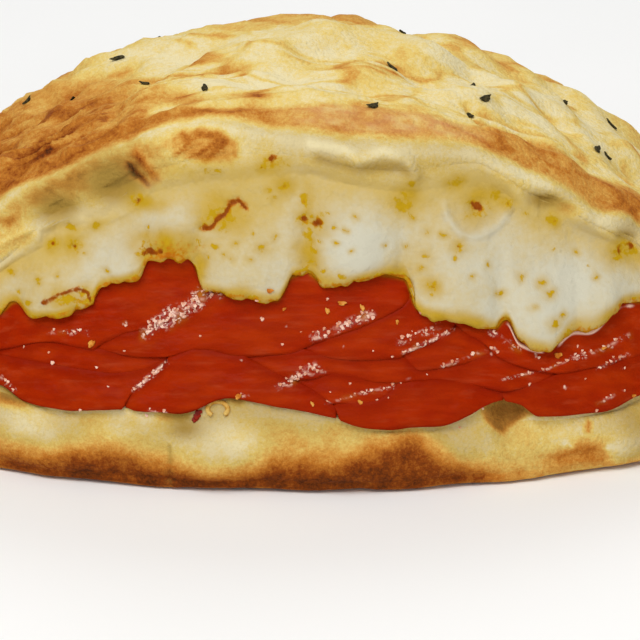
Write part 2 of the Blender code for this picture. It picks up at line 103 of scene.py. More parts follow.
def hermite(t, start, end, leave, arrive):
    """The curve from start to end that leaves and arrives with those slopes."""
    ahead = 3 * t**2 - 2 * t**3
    return (1 - ahead) * start + (t**3 - 2 * t**2 + t) * leave + ahead * end + (t**3 - t**2) * arrive


def smooth_line(*points):
    """A smooth line z(x) through the points that never swings past them."""
    px, pz = np.array(points, float).T
    h = np.diff(px)
    m = np.diff(pz) / h
    same = m[:-1] * m[1:] > 0
    before = np.where(same, m[:-1], 1.0)
    after = np.where(same, m[1:], 1.0)
    w1, w2 = 2 * h[1:] + h[:-1], h[1:] + 2 * h[:-1]
    d = np.concatenate([m[:1], np.where(same, (w1 + w2) / (w1 / before + w2 / after), 0.0), m[-1:]])

    def at(x):
        x = np.clip(x, px[0], px[-1])
        k = np.clip(np.searchsorted(px, x, side="right") - 1, 0, len(h) - 1)
        t = (x - px[k]) / h[k]
        return hermite(t, pz[k], pz[k + 1], h[k] * d[k], h[k] * d[k + 1])

    return at


# Heights along x on the face of the mouth: the lip, the gum where the cheese meets the rim, the rolled
# rim and the browned band behind it, then the edges between the bed, the slices and the cheese.
lip_line = smooth_line(
    (-88, 9.4), (-78, 12.2), (-70, 13.6), (-55, 14.6), (-43, 12.3), (-30, 13.3), (-10, 13.6), (3, 13.2),
    (12, 11.5), (24, 11.2), (34, 12.6), (45, 10.4), (56, 10.6), (63, 12.2), (78, 11.9), (88, 9.4),
)
gum_line = smooth_line(
    (-88, 10.7), (-80, 17.4), (-70, 25), (-55, 34.7), (-46, 41.2), (-31, 48.2), (-25.5, 52.4), (-11, 55.6),
    (-0.6, 56.3), (10, 53.9), (17, 52.8), (30.6, 54.4), (35, 52.6), (42, 46.5), (47, 45), (61, 36.7),
    (70, 29.5), (80, 19), (88, 10.7),
)
roll_line = smooth_line(
    (-92, 17), (-80, 27.5), (-70, 36), (-55, 46), (-49.5, 51), (-35, 59.2), (-24, 62.2), (-13.7, 62.8),
    (-0.6, 60.6), (8, 59.2), (29.6, 58), (36, 54.8), (47.5, 49.2), (52, 45), (61, 41.3), (70, 35.5),
    (80, 27), (92, 16),
)
band_line = smooth_line(
    (-92, 18.5), (-80, 30.5), (-70, 39.5), (-55, 50), (-44, 57), (-35, 61.6), (-24, 64), (0, 64.4),
    (12, 63.6), (21, 61.6), (30, 59.6), (37, 57.1), (44, 53.5), (51, 49.6), (61, 44.5), (70, 38.5),
    (80, 29.5), (92, 17.8),
)
bed_edge = smooth_line(
    (-84, 11.6), (-78, 13.1), (-70, 14.6), (-54.7, 16), (-50, 13.9), (-42.7, 13.1), (-33, 14.5), (-23, 14),
    (-12.5, 17), (-7.7, 16.4), (3.5, 14.4), (12.7, 12), (24, 11.8), (35, 15.2), (38.7, 14.5), (42, 12.1),
    (54, 11.3), (61, 13.3), (78, 12.8), (84, 11.4),
)
cheese_edge = smooth_line(
    (-84, 12.9), (-78, 17.2), (-70, 21.4), (-54.7, 27.9), (-51.5, 30.2), (-48.4, 28.4), (-38.5, 31.2),
    (-35.8, 34.5), (-29.6, 36.4), (-27.6, 39.7), (-20.6, 40.2), (-17.6, 35), (-10.3, 33.9), (-4.6, 33.4),
    (-1.8, 37.2), (0.6, 37.6), (4, 35.7), (12.7, 37.1), (17.8, 36.3), (20, 31.7), (30.6, 28.8), (34.4, 27.5),
    (36.2, 28.9), (38.6, 25.2), (44.1, 23.6), (48.6, 26.3), (51.5, 25.9), (57.5, 29.4), (61, 29.1),
    (70, 23.5), (78, 17.6), (84, 12.7),
)
slant_edge = smooth_line((-36, 5), (-32.3, 14.4), (-30.3, 17.3), (-24.3, 22.2), (-22, 40))
left_edge = smooth_line(
    (-84, 12.2), (-70, 17.3), (-54.7, 20.5), (-39, 20), (-34.9, 19.8), (-29, 20.6), (-24, 22.5),
)
waist_edge = smooth_line(
    (-84, 12.5), (-70, 18.2), (-54.8, 21.6), (-43.6, 24), (-35.4, 23.3), (-25, 23), (-19, 24.6),
    (-11.2, 23.7), (-2.9, 24.1), (2.6, 26), (7.9, 27.6), (13.5, 29.5), (18.6, 32.3), (30, 50),
)
lap_edge = smooth_line(
    (-41, 5), (-37.3, 23.6), (-32.7, 26.1), (-26.4, 27.9), (-22.8, 29.3), (-16, 34), (-12, 50),
)
dip_edge = smooth_line(
    (-14, 40), (-10.3, 23.6), (-6.8, 21.9), (-2.3, 20), (3, 17.5), (5.3, 15.8), (9, 5),
)
belly_edge = smooth_line(
    (-6, 20.2), (0.3, 20.2), (5.3, 20.9), (13.6, 19.6), (24.3, 19.3), (29.7, 18.5), (37, 17), (46, 18.8),
    (52, 40),
)
under_edge = smooth_line(
    (2, 15), (6, 16.3), (11.8, 16.3), (14.5, 17.1), (17.2, 19), (24.3, 19.5), (30, 40),
)
notch_edge = smooth_line((32, 30), (34.4, 17.4), (36, 15.2), (39, 5))
fan_edge = smooth_line(
    (-6, 26), (-0.6, 24.9), (5.3, 23.5), (11, 23.2), (17.2, 23.2), (20.8, 21.1), (24.3, 21.4), (34.6, 23.3),
    (42, 40),
)
flap_edge = smooth_line((15, 5), (17.2, 23.2), (19.9, 24.6), (26.1, 26.8), (29, 29.5), (34, 50))
sweep_edge = smooth_line(
    (22, 50), (26.5, 28.7), (32.4, 24.6), (35.1, 22.3), (43.3, 19.3), (46, 18.8), (53.4, 18.9), (60.9, 19.6),
    (84, 12.1),
)

# The slices: name, the edges below, the edges above, stretch of x, how far it stands out.
SLICES = (
    ("sausage_slice_01", (waist_edge, lap_edge), (cheese_edge,), (-84, -10), 1.5),
    ("sausage_slice_02", (waist_edge,), (lap_edge, cheese_edge), (-40, 24), 1.7),
    ("sausage_slice_03", (left_edge,), (waist_edge,), (-84, -24.2), 1.1),
    ("sausage_slice_04", (bed_edge, slant_edge), (left_edge,), (-84, -22), 1.6),
    ("sausage_slice_05", (bed_edge,), (slant_edge, waist_edge, dip_edge), (-34, 8), 1.8),
    ("sausage_slice_06", (dip_edge, belly_edge), (waist_edge, fan_edge, sweep_edge), (-12, 48), 1.4),
    ("sausage_slice_07", (dip_edge, under_edge), (belly_edge,), (-5, 26), 1.2),
    ("sausage_slice_08", (bed_edge, dip_edge), (under_edge, belly_edge, notch_edge), (0, 38), 1.8),
    ("sausage_slice_09", (fan_edge, flap_edge), (waist_edge, cheese_edge, sweep_edge), (-4, 31), 1.5),
    ("sausage_slice_10", (fan_edge,), (flap_edge, sweep_edge), (16, 40), 1.1),
    ("sausage_slice_11", (sweep_edge,), (cheese_edge,), (22, 84), 1.6),
    ("sausage_slice_12", (bed_edge, notch_edge), (belly_edge, sweep_edge), (33, 84), 1.7),
)
# Lobes of the cheese: centre, half-width.
LOBES = ((-46, 9), (-33, 6), (-24, 6), (-10, 8), (9, 7), (27, 8), (43, 7), (54, 6))
CHEESE_STAND = 3.0
CHEESE_RUN = (-84, 84)


# ---------------------------------------------------------------- the loaf's form


def ease(a, b, v):
    """0 at a and 1 at b, with a soft start and end. a may be the larger one."""
    t = np.clip((v - a) / (b - a), 0.0, 1.0)
    return t * t * (3 - 2 * t)


def span(v, a, b, c, d):
    """1 from b to c, falling softly to 0 at a and at d."""
    return ease(a, b, v) * ease(d, c, v)


def bell(v, half_width):
    return np.exp(-((v / half_width) ** 2))


def blend(a, b, share):
    return a + (b - a) * share


def axes(points):
    return np.moveaxis(points, -1, 0)


def crest_height(x):
    return CREST * (1 - np.abs(x / (HALF_LENGTH + 2)) ** 1.9) ** 0.88


def mouth_y(x):
    return MID_Y - FRONT_DEPTH * np.sqrt(np.maximum(1 - (x / HALF_LENGTH) ** 2, 0.0))


def bow(x, half):
    """A blunt arc, 1 in the middle and 0 at half."""
    return np.maximum(1 - np.abs(x / half) ** BLUNTNESS, 0.0) ** (1 / BLUNTNESS)


def back_y(x):
    return MID_Y + BACK_DEPTH * bow(x, HALF_LENGTH)


def face_y(x, z):
    """The mouth leans back from the lower lip to the upper edge."""
    start, ease_off, slope, upper_slope = FACE_LEAN
    steep = slope * (np.clip(z, start, ease_off) - start)
    return mouth_y(x) + steep + upper_slope * np.maximum(z - ease_off, 0)


def seam_half(x):
    return np.interp(np.abs(x), SEAM_RUN, (0.65, 0.28))


def lip_dip(x):
    return sum(d * bell(x - c, w) for c, w, d in LIP_DIPS)


def lip_z(x):
    shut = SEAM_SHARE * crest_height(x) - seam_half(x)
    return np.where(np.abs(x) > SEAM_RUN[0], shut, lip_line(x) - lip_dip(x))


def gum_z(x):
    shut = SEAM_SHARE * crest_height(x) + seam_half(x)
    return np.where(np.abs(x) > SEAM_RUN[0], shut, gum_line(x))


def bed_share(x):
    share = (bed_edge(x) - GAP / 2 - lip_z(x)) / (gum_z(x) - lip_z(x))
    return np.maximum(share, 0.0) * ease(86, 80, np.abs(x))


def inner_back_y(x):
    shut = face_y(x, gum_z(x)) + np.interp(np.abs(x), SEAM_RUN, (4.0, 1.2))
    back = MID_Y + (BACK_DEPTH - BACK_WALL) * bow(x, MOUTH_HALF + 0.5)
    return np.where(np.abs(x) > MOUTH_HALF, shut, back)


def inside(x, w, d):
    """(y, z) of the filling's space at share w of its height and share d of its depth."""
    open_share = ease(MOUTH_HALF, 72, np.abs(x))
    low, high, crest = lip_z(x), gum_z(x), crest_height(x)
    front_y = face_y(x, low + w * (high - low))
    back = inner_back_y(x)
    peak_d = np.clip((MIDDLE_Y - face_y(x, high)) / (back - face_y(x, high)), 0.15, 0.6)
    peak = np.maximum(crest - WALL, high + 0.5)
    shoulder = np.minimum(0.36 * crest + 2, peak)
    rise = high + (peak - high) * np.sin(np.pi / 2 * np.minimum(d / peak_d, 1.0))
    fall = np.clip((d - peak_d) / (1 - peak_d), 0.0, 1.0)
    drop = shoulder + (peak - shoulder) * (1 - fall**2.4) ** (1 / 2.4)
    roof = high + (np.where(d < peak_d, rise, drop) - high) * open_share
    sink = ease(0, 0.14, d) * open_share
    bed = low + (np.minimum(FLOOR, low) - low) * sink
    return front_y + (back - front_y) * d, bed + w * (roof - bed)


def share_of_height(x, z):
    return (z - lip_z(x)) / (gum_z(x) - lip_z(x))


# ---------------------------------------------------------------- noise and marks

TABLE_SIZE = 8192
PRIMES = (73856093, 19349663, 83492791)
rng = np.random.default_rng(41)
WAVES = [
    (rng.uniform(0.6, 1) * amp, rng.uniform(-1, 1, 3) * 2 * math.pi / length, rng.uniform(0, 6.28))
    for length, amp in ((34, 0.45), (22, 0.4), (14, 0.3), (9, 0.22))
    for _ in range(4)
]


def uneven(points):
    return sum(a * np.sin(points @ k + p) for a, k, p in WAVES)


def lumps(points, size, seed):
    """Smooth noise from -1 to 1 over points (..., 3); size is the lumps' width, or one for each axis."""
    table = np.random.default_rng(seed).uniform(-1, 1, TABLE_SIZE)
    p = points / np.array(size, float)
    cell = np.floor(p).astype(np.int64)
    t = p - cell
    t = t * t * (3 - 2 * t)
    total = np.zeros(points.shape[:-1])
    for corner in itertools.product((0, 1), repeat=3):
        i, j, k = axes((cell + np.array(corner)) * PRIMES)
        share = np.prod(np.where(corner, t, 1 - t), axis=-1)
        total += share * table[(i ^ j ^ k) & (TABLE_SIZE - 1)]
    return total


def ridges(points, size, seed):
    """Sharp-crested noise from -1 to 1: thin ridges between soft troughs."""
    return 1 - 2 * np.abs(lumps(points, size, seed)) ** 0.7


def dab(x, z, cx, cz, rx, rz, turn=0.0):
    """A soft spot at (cx, cz), rx by rz, turned by so many degrees."""
    a = math.radians(turn)
    u = (x - cx) * math.cos(a) + (z - cz) * math.sin(a)
    v = (z - cz) * math.cos(a) - (x - cx) * math.sin(a)
    return np.exp(-((u / rx) ** 2) - (v / rz) ** 2)


def stroke(x, z, width, *corners):
    """A soft line of that half-width along the corners."""
    best = np.full(np.broadcast(x, z).shape, np.inf)
    for (ax, az), (bx, bz) in itertools.pairwise(corners):
        dx, dz = bx - ax, bz - az
        s = np.clip(((x - ax) * dx + (z - az) * dz) / (dx * dx + dz * dz), 0, 1)
        best = np.minimum(best, (x - ax - s * dx) ** 2 + (z - az - s * dz) ** 2)
    return np.exp(-best / width**2)


def mark(x, z, *shape):
    """A stroke where the shape is a half-width and corners, or else a dab."""
    return stroke(x, z, *shape) if isinstance(shape[1], tuple) else dab(x, z, *shape)


def marks(x, z, rows):
    """The sum of some marks; each row is a shape and then its strength."""
    return sum(much * mark(x, z, *shape) for *shape, much in rows)


def strongest(x, z, rows, broken=0.0):
    """The strongest mark at each spot. After its shape a row has its strength, and what that
    gains by the share broken."""
    return np.max([(much + more * broken) * mark(x, z, *shape) for *shape, much, more in rows], axis=0)


# ---------------------------------------------------------------- meshes


def curve_through(controls, steps):
    """A smooth closed curve through each station's controls (n, c, 2), with steps[i] points
    from control i to the next. Also returns each point's place along the controls."""
    step = np.roll(controls, -1, axis=1) - controls
    h = np.linalg.norm(step, axis=2, keepdims=True) + 1e-6
    slope = step / h
    h_before, slope_before = np.roll(h, 1, axis=1), np.roll(slope, 1, axis=1)
    tangent = (slope_before * h + slope * h_before) / (h + h_before)
    k = np.repeat(np.arange(len(steps)), steps)
    after = (k + 1) % len(steps)
    t = np.concatenate([np.arange(n) / n for n in steps])
    leave, arrive = h[:, k] * tangent[:, k], h[:, k] * tangent[:, after]
    return hermite(t[None, :, None], controls[:, k], controls[:, after], leave, arrive), k + t


def grid_normals(points):
    """Outward normals of a skin (stations, loop, 3) that is closed along its loop."""
    along = np.gradient(points, axis=0)
    around = np.roll(points, -1, axis=1) - np.roll(points, 1, axis=1)
    normals = np.cross(around, along)
    normals /= np.linalg.norm(normals, axis=2, keepdims=True) + 1e-9
    away = points - points.mean(axis=1, keepdims=True)
    return normals if (normals * away).sum() > 0 else -normals


def station_curves(xs, controls, steps):
    """The curves of all stations as points (stations, loop, 3), and the places along a loop."""
    curve, place = curve_through(controls, steps)
    x = np.broadcast_to(xs[:, None, None], (*curve.shape[:2], 1))
    return np.concatenate([x, curve], axis=2), place[None, :]


def raised(points, lift):
    return points + grid_normals(points) * lift[..., None]


def add_object(name, data):
    obj = bpy.data.objects.new(name, data)
    bpy.context.scene.collection.objects.link(obj)
    return obj


def skin(name, points, ends, material, masks):
    """Makes an object of a closed skin (stations, loop, 3), shut by a point at each end."""
    n, m = points.shape[:2]
    i, j = np.meshgrid(np.arange(n - 1), np.arange(m), indexing="ij")
    k = (j + 1) % m
    quads = np.stack([i * m + j, i * m + k, (i + 1) * m + k, (i + 1) * m + j], axis=-1).reshape(-1, 4)
    ring = np.arange(m)
    after = (ring + 1) % m
    last = (n - 1) * m
    first_fan = np.stack([np.full(m, n * m), after, ring], axis=-1)
    last_fan = np.stack([np.full(m, n * m + 1), last + ring, last + after], axis=-1)
    corners = np.concatenate([points.reshape(-1, 3), ends])
    corners[:, 1] += SETBACK
    faces = quads.tolist() + first_fan.tolist() + last_fan.tolist()
    a, b, c, d = (corners[quads[:, q]] for q in range(4))
    volume = (np.cross(a, b) * c).sum() + (np.cross(a, c) * d).sum()
    if volume < 0:
        faces = [face[::-1] for face in faces]
    mesh = bpy.data.meshes.new(name)
    mesh.from_pydata((corners * MM).tolist(), [], faces)
    mesh.shade_smooth()
    mesh.materials.append(material)
    for mask, values in masks.items():
        spread = np.broadcast_to(values, (n, m))
        full = np.concatenate([spread.ravel(), [spread[0].mean(), spread[-1].mean()]])
        attribute = mesh.attributes.new(mask, "FLOAT", "POINT")
        attribute.data.foreach_set("value", np.clip(full, 0, 1).astype(np.float32))
    return add_object(name, mesh)


def stations_between(low, high, fine, coarse):
    """Places along x, closer together where the middle of the loaf is seen best."""
    start, end = max(low, -FINE_HALF), min(high, FINE_HALF)
    inner = np.arange(start, end, fine)
    return np.concatenate([np.arange(low, start, coarse), inner, np.arange(end, high, coarse), [high]])


# ---------------------------------------------------------------- shader groups


def new_group(name, **inputs):
    """A node group with those inputs and one output, Mask."""
    group = bpy.data.node_groups.new(name, "ShaderNodeTree")
    for label, value in inputs.items():
        socket = group.interface.new_socket(label, in_out="INPUT", socket_type="NodeSocketFloat")
        socket.default_value = value
    group.interface.new_socket("Mask", in_out="OUTPUT", socket_type="NodeSocketFloat")
    start = group.nodes.new("NodeGroupInput")
    end = group.nodes.new("NodeGroupOutput")
    return group, start.outputs, end.inputs["Mask"]


def add_node(tree, kind, inputs=None, **settings):
    """A shader node whose inputs are set to values, or linked to sockets or to a node's first output."""
    node = tree.nodes.new("ShaderNode" + kind)
    for key, value in settings.items():
        setattr(node, key, value)
    for key, value in (inputs or {}).items():
        if isinstance(value, bpy.types.Node):
            value = value.outputs[0]
        if isinstance(value, bpy.types.NodeSocket):
            tree.links.new(value, node.inputs[key])
        else:
            node.inputs[key].default_value = value
    return node


def soften(tree, value, low, high, to_low=0.0, to_high=1.0):
    """A node that eases a value from between low and high to between to_low and to_high."""
    ends = {"Value": value, "From Min": low, "From Max": high, "To Min": to_low, "To Max": to_high}
    return add_node(tree, "MapRange", ends, interpolation_type="SMOOTHSTEP")


def mottle_group():
    """Cloudy noise spread over 0 to 1 between Low and High."""
    group, given, mask = new_group("mottle", Scale=200.0, Detail=3.0, Stretch=1.0, Low=0.35, High=0.65)
    place = add_node(group, "TexCoord").outputs["Object"]
    squash = add_node(group, "CombineXYZ", {"X": given["Stretch"], "Y": 1, "Z": 1})
    scaled = add_node(group, "VectorMath", {0: place, 1: squash}, operation="MULTIPLY")
    looks = {"Vector": scaled, "Scale": given["Scale"], "Detail": given["Detail"]}
    noise = add_node(group, "TexNoise", looks)
    group.links.new(soften(group, noise, given["Low"], given["High"]).outputs[0], mask)
    return group


def specks_group():
    """Round specks: Share of the cells hold one, Size wide against its cell."""
    group, given, mask = new_group("specks", Scale=500.0, Share=0.2, Size=0.35)
    place = add_node(group, "TexCoord").outputs["Object"]
    wobble = add_node(group, "TexNoise", {"Vector": place, "Scale": 900.0}).outputs["Color"]
    drift = add_node(group, "VectorMath", {0: wobble, "Scale": 0.0012}, operation="SCALE")
    moved = add_node(group, "VectorMath", {0: place, 1: drift}, operation="ADD")
    cells = add_node(group, "TexVoronoi", {"Vector": moved, "Scale": given["Scale"]}).outputs
    spot = soften(group, cells["Distance"], given["Size"], 0.0)
    pick = add_node(group, "SeparateColor", {0: cells["Color"]})
    kept = add_node(group, "Math", {0: pick, 1: given["Share"]}, operation="LESS_THAN")
    both = add_node(group, "Math", {0: spot, 1: kept}, operation="MULTIPLY")
    group.links.new(both.outputs[0], mask)
    return group


MOTTLE = mottle_group()
SPECKS = specks_group()


class Finish:
    """A material with one Principled shader, and short ways to build its colour."""

    def __init__(self, name, **values):
        self.material = bpy.data.materials.new(name)
        self.material.use_nodes = True
        self.tree = self.material.node_tree
        self.shader = self.tree.nodes["Principled BSDF"]
        for label, value in values.items():
            self.shader.inputs[label.replace("_", " ")].default_value = value

    def mask(self, name):
        return add_node(self.tree, "Attribute", attribute_name=name).outputs["Fac"]

    def group(self, group, **values):
        node = add_node(self.tree, "Group", node_tree=group)
        for label, value in values.items():
            node.inputs[label].default_value = value
        return node.outputs[0]

    def mottle(self, scale, low=0.35, high=0.65, detail=3, stretch=1):
        return self.group(MOTTLE, Scale=scale, Detail=detail, Stretch=stretch, Low=low, High=high)

    def specks(self, scale, share, size):
        return self.group(SPECKS, Scale=scale, Share=share, Size=size)

    def math(self, operation, a, b):
        return add_node(self.tree, "Math", {0: a, 1: b}, operation=operation).outputs[0]

    def times(self, a, b):
        return self.math("MULTIPLY", a, b)

    def larger(self, a, b):
        return self.math("MAXIMUM", a, b)

    def stir(self, value, noise, much):
        """The value, moved up and down by the noise around its middle."""
        return self.math("ADD", value, self.times(self.math("SUBTRACT", noise, 0.5), much))

    def spread(self, value, *ends):
        return soften(self.tree, value, *ends).outputs[0]

    def ramp(self, value, *stops):
        node = add_node(self.tree, "ValToRGB", {"Fac": value})
        elements = node.color_ramp.elements
        while len(elements) < len(stops):
            elements.new(0.5)
        for element, (place, colour) in zip(elements, stops):
            element.position = place
            element.color = (*colour, 1)
        return node.outputs[0]

    def mix(self, share, a, b):
        """The colours a and b, each a socket or a shade, mixed by the share."""
        shades = [(*shade, 1) if isinstance(shade, tuple) else shade for shade in (a, b)]
        node = add_node(self.tree, "Mix", {0: share, 6: shades[0], 7: shades[1]}, data_type="RGBA")
        return node.outputs[2]

    def bump(self, height, distance):
        inputs = {"Height": height, "Distance": distance, "Strength": 1.0}
        self.connect("Normal", add_node(self.tree, "Bump", inputs).outputs[0])

    def connect(self, label, socket):
        self.tree.links.new(socket, self.shader.inputs[label])


# ---------------------------------------------------------------- finishes

FLOURY = (0.76, 0.66, 0.39)
PALE_GOLD = (0.73, 0.54, 0.155)
GOLDEN = (0.62, 0.32, 0.065)
ORANGE_BROWN = (0.47, 0.165, 0.020)
ROSY = (0.57, 0.27, 0.14)
BROWN = (0.23, 0.048, 0.004)
CHAR = (0.05, 0.014, 0.004)
# the olive of painted shade
SHADE_OLIVE = (0.33, 0.205, 0.040)
CHEESE_WHITE = (0.57, 0.54, 0.42)
CHEESE_CREAM = (0.55, 0.395, 0.120)
OIL_YELLOW = (0.47, 0.285, 0.006)
AMBER = (0.47, 0.14, 0.004)
SCORCH_BROWN = (0.20, 0.034, 0.002)
RED = (0.33, 0.017, 0.0006)
DEEP_RED = (0.20, 0.006, 0.0005)
WARM_RED = (0.38, 0.032, 0.001)
PINK_RED = (0.46, 0.085, 0.030)
# pale fat, and the pale of painted glints
FAT_GLINT_PALE = (0.84, 0.55, 0.42)
FAT_GLINT_DEEP = (0.62, 0.24, 0.13)
OIL_ORANGE = (0.66, 0.30, 0.05)
OIL_BROWN = (0.50, 0.14, 0.01)
SAUCE_RED = (0.26, 0.012, 0.001)
SAUCE_DARK = (0.14, 0.004, 0.0005)
ONION = (0.66, 0.44, 0.12)
ONION_EDGE = (0.52, 0.25, 0.03)
LEAF = (0.022, 0.020, 0.010)
LEAF_VEIN = (0.07, 0.055, 0.022)
FLOOR_GREY = (0.90, 0.90, 0.89)
FLOOR_LIGHT = (0.92, 0.92, 0.91)
SKY = (0.95, 0.97, 1.0)
KEY_LIGHT = (1.0, 0.98, 0.95)
FILL_LIGHT = (1.0, 0.99, 0.97)
# The dough's shades as it bakes: how baked, then the colour.
BAKED_SHADES = (
    (0.04, FLOURY), (0.24, PALE_GOLD), (0.44, GOLDEN), (0.62, ORANGE_BROWN), (0.82, BROWN), (1, CHAR),
)


def dough_colour(f):
    """The dough's colour from its bake mask, which also holds some painted shade and highlight, and its
    olive mask of painted shade; how baked each spot is, and its grain.
    """
    blotch = f.mottle(260, 0.3, 0.7, detail=4)
    grain = f.mottle(1300, 0.25, 0.75)
    dust = f.mottle(3200, 0.3, 0.7, detail=2)
    bake_and_light = f.stir(f.stir(f.stir(f.mask("bake_and_light"), blotch, 0.12), grain, 0.11), dust, 0.08)
    return f.mix(f.mask("olive_shade"), f.ramp(bake_and_light, *BAKED_SHADES), SHADE_OLIVE), bake_and_light, grain


def dough_finish():
    f = Finish("baked_dough", Roughness=0.72, Specular_IOR_Level=0.05)
    colour, bake_and_light, grain = dough_colour(f)
    f.connect("Base Color", f.mix(f.mask("rosy"), colour, ROSY))
    pits = f.specks(420, 0.25, 0.5)
    f.bump(f.math("SUBTRACT", grain, f.times(pits, 0.5)), 0.00014)
    f.connect("Roughness", f.spread(bake_and_light, 0.1, 0.8, 0.82, 0.6))
    return f.material


RAGGED = 0.42  # how much the grit frays the edges of the cheese's stains


def cheese_finish():
    f = Finish("melted_mozzarella", Roughness=0.42, Specular_IOR_Level=0.04)
    cloud = f.mottle(110, 0.3, 0.7)
    grit = f.mottle(1100, 0.25, 0.75)
    cream = f.stir(f.stir(f.mask("cream"), cloud, 0.25), grit, 0.14)
    colour = f.mix(f.spread(cream, 0.0, 1.0), CHEESE_WHITE, CHEESE_CREAM)
    flecks = f.specks(330, 0.1, 0.26)
    oil = f.larger(f.mask("oil"), f.times(flecks, f.mask("flecked")))
    stain = f.larger(f.spread(f.stir(oil, grit, RAGGED), 0.3, 0.85), f.mask("glaze"))
    colour = f.mix(f.mask("film"), colour, dough_colour(f)[0])
    colour = f.mix(stain, colour, OIL_YELLOW)
    colour = f.mix(f.spread(f.stir(f.mask("amber"), grit, RAGGED), 0.3, 0.9), colour, AMBER)
    burnt = f.spread(f.stir(f.mask("scorch"), grit, RAGGED), 0.3, 0.8)
    toasted = f.mix(f.times(grit, 0.3), SCORCH_BROWN, AMBER)
    f.connect("Base Color", f.mix(burnt, colour, toasted))
    f.bump(f.mottle(420), 0.00012)
    f.connect("Roughness", f.spread(stain, 0.0, 1.0, 0.45, 0.25))
    return f.material


def sausage_finish():
    f = Finish("glossy_sausage", Roughness=0.38, Specular_IOR_Level=0.02, Coat_Roughness=0.12)
    cloud = f.mottle(130, 0.3, 0.7)
    streak = f.mottle(500, stretch=0.25)
    threads = f.mottle(900, 0.52, 0.8, stretch=0.12)
    colour = f.mix(f.times(cloud, 0.55), RED, WARM_RED)
    colour = f.mix(f.times(streak, 0.42), colour, DEEP_RED)
    colour = f.mix(f.times(threads, 0.22), colour, PINK_RED)
    # painted shade in the creases between slices
    colour = f.mix(f.mask("crease_shade"), colour, DEEP_RED)
    colour = f.mix(f.mask("oily"), colour, OIL_YELLOW)
    crumbs = f.specks(1250, 0.62, 0.62)
    dashes = f.mottle(1500, 0.5, 0.62, detail=2)
    loose = f.specks(380, 0.035, 0.28)
    # Painted highlight: pale crumbs and dashes along the glints, and the wet lines; the loose specks are
    # real fat.
    crumbs = f.larger(f.spread(crumbs, 0.1, 0.5), f.times(dashes, 0.85))
    fat_and_glint = f.larger(f.times(f.mask("glint"), crumbs), f.times(loose, 0.8))
    fat_and_glint = f.larger(fat_and_glint, f.mask("wet_highlight"))
    f.connect("Base Color", f.mix(f.spread(fat_and_glint, 0.1, 0.8), colour, FAT_GLINT_PALE))
    fine = f.mottle(800, detail=2, stretch=0.5)
    f.bump(f.math("ADD", f.times(fine, 0.3), fat_and_glint), 0.0002)
    f.connect("Roughness", f.spread(cloud, 0.0, 1.0, 0.3, 0.42))
    f.connect("Coat Weight", f.spread(f.mask("glint"), 0.1, 0.8, 0.0, 0.5))
    return f.material


def leaf_finish():
    f = Finish("dried_herb", Roughness=0.8, Specular_IOR_Level=0.06)
    vein = f.mottle(1800, detail=2)
    f.connect("Base Color", f.mix(vein, LEAF, LEAF_VEIN))
    f.bump(vein, 0.00015)
    return f.material


def morsel_finish(name, colour, deeper, roughness):
    """Small glossy morsels whose colour wanders between two shades."""
    f = Finish(name, Roughness=roughness, Specular_IOR_Level=0.12)
    f.connect("Base Color", f.mix(f.mottle(900, detail=2), colour, deeper))
    return f.material


def floor_finish():
    f = Finish("pale_floor", Roughness=0.85, Specular_IOR_Level=0.2)
    f.connect("Base Color", f.mix(f.mottle(6, detail=2), FLOOR_GREY, FLOOR_LIGHT))
    return f.material


# ---------------------------------------------------------------- the crust

# Points drawn from each control of the outline to the next.
CRUST_STEPS = (
    *[5] * 4, 4, *[3] * 5, 4, 4, *[11] * 8, 15, 17, 8, 6, 6, 7, 6, 4, 4, 4, *[2] * 7, 3, 3, 3, 8,
)
LIP_END = 5.5  # the lip's last place along the outline
BLISTERS = 46
SLANT = np.array([[0.86, 0.0, 0.5], [0.0, 1.0, 0.0], [-0.5, 0.0, 0.86]])

# Lines and marks are (x, z) on the face of the mouth, or (x, y) on the top. A row of marks is a spot
# (centre and half-sizes, and sometimes its turn) or a line (half-width and corners), then its strength.

# Ridges along the rim, paled by painted highlight, and the crease at the right end of the deepest hollow,
# darkened by painted shade.
SOFT_RIDGE = ((1.2, 59.6), (7.4, 58.4), (9.7, 56.9), (14.5, 57.9), (18.4, 56.4), (20, 54))
LEFT_RIDGE = ((-54.8, 39.4), (-49.2, 42.6), (-43.2, 44.5), (-39.6, 44.9))
HOLLOW_CREASE = ((-31, 55), (-29.6, 53.4), (-27.7, 51.9))
HOLLOW_EDGE = ((-29.4, 57.2), (-26, 53))
# A pinched edge along the foot of the lip, and a crease across the lip.
FLANGE = ((38, 1.2), (44, 2.2), (50, 2.5), (57, 2), (64, 1.6))
LIP_CREASE = ((-24, 2), (-23.6, 6), (-23.9, 11.8))
# Lines of a folded flap behind the band: how far behind, half-width, height, how much more baked.
FLAP_LINES = ((2, 1, 0.5, -0.22), (4.4, 0.8, -0.5, 0.26), (6.6, 1, 0.4, -0.1), (8.8, 0.8, -0.35, 0.16))
FLAP_NOTCH = ((29.6, -23.5), (30.6, -27), (32.6, -31.5))

# Relief in millimetres.
RIM_RIDGES = (
    (0.9, *SOFT_RIDGE, 0.9), (0.8, *LEFT_RIDGE, 1.2), (0.6, *HOLLOW_CREASE, -0.6),
    (0.9, (-29.8, 57.4), (-28, 55.6), (-26.4, 53.6), 0.7),
    (0.7, (49, 45.2), (50.8, 44.6), (51.8, 42.6), (51.2, 41.2), 0.6),
    (0.7, (54, 43.6), (58.1, 43.1), (60.4, 41), 0.5),
)
LIP_SWELLS = (
    (0.45, (-24, 1.5), (-23.8, 5), (-23.9, 8), -0.5), (48, 4.2, 7, 1.2, -0.5), (60, 8, 3.2, 4.5, 0.5),
)
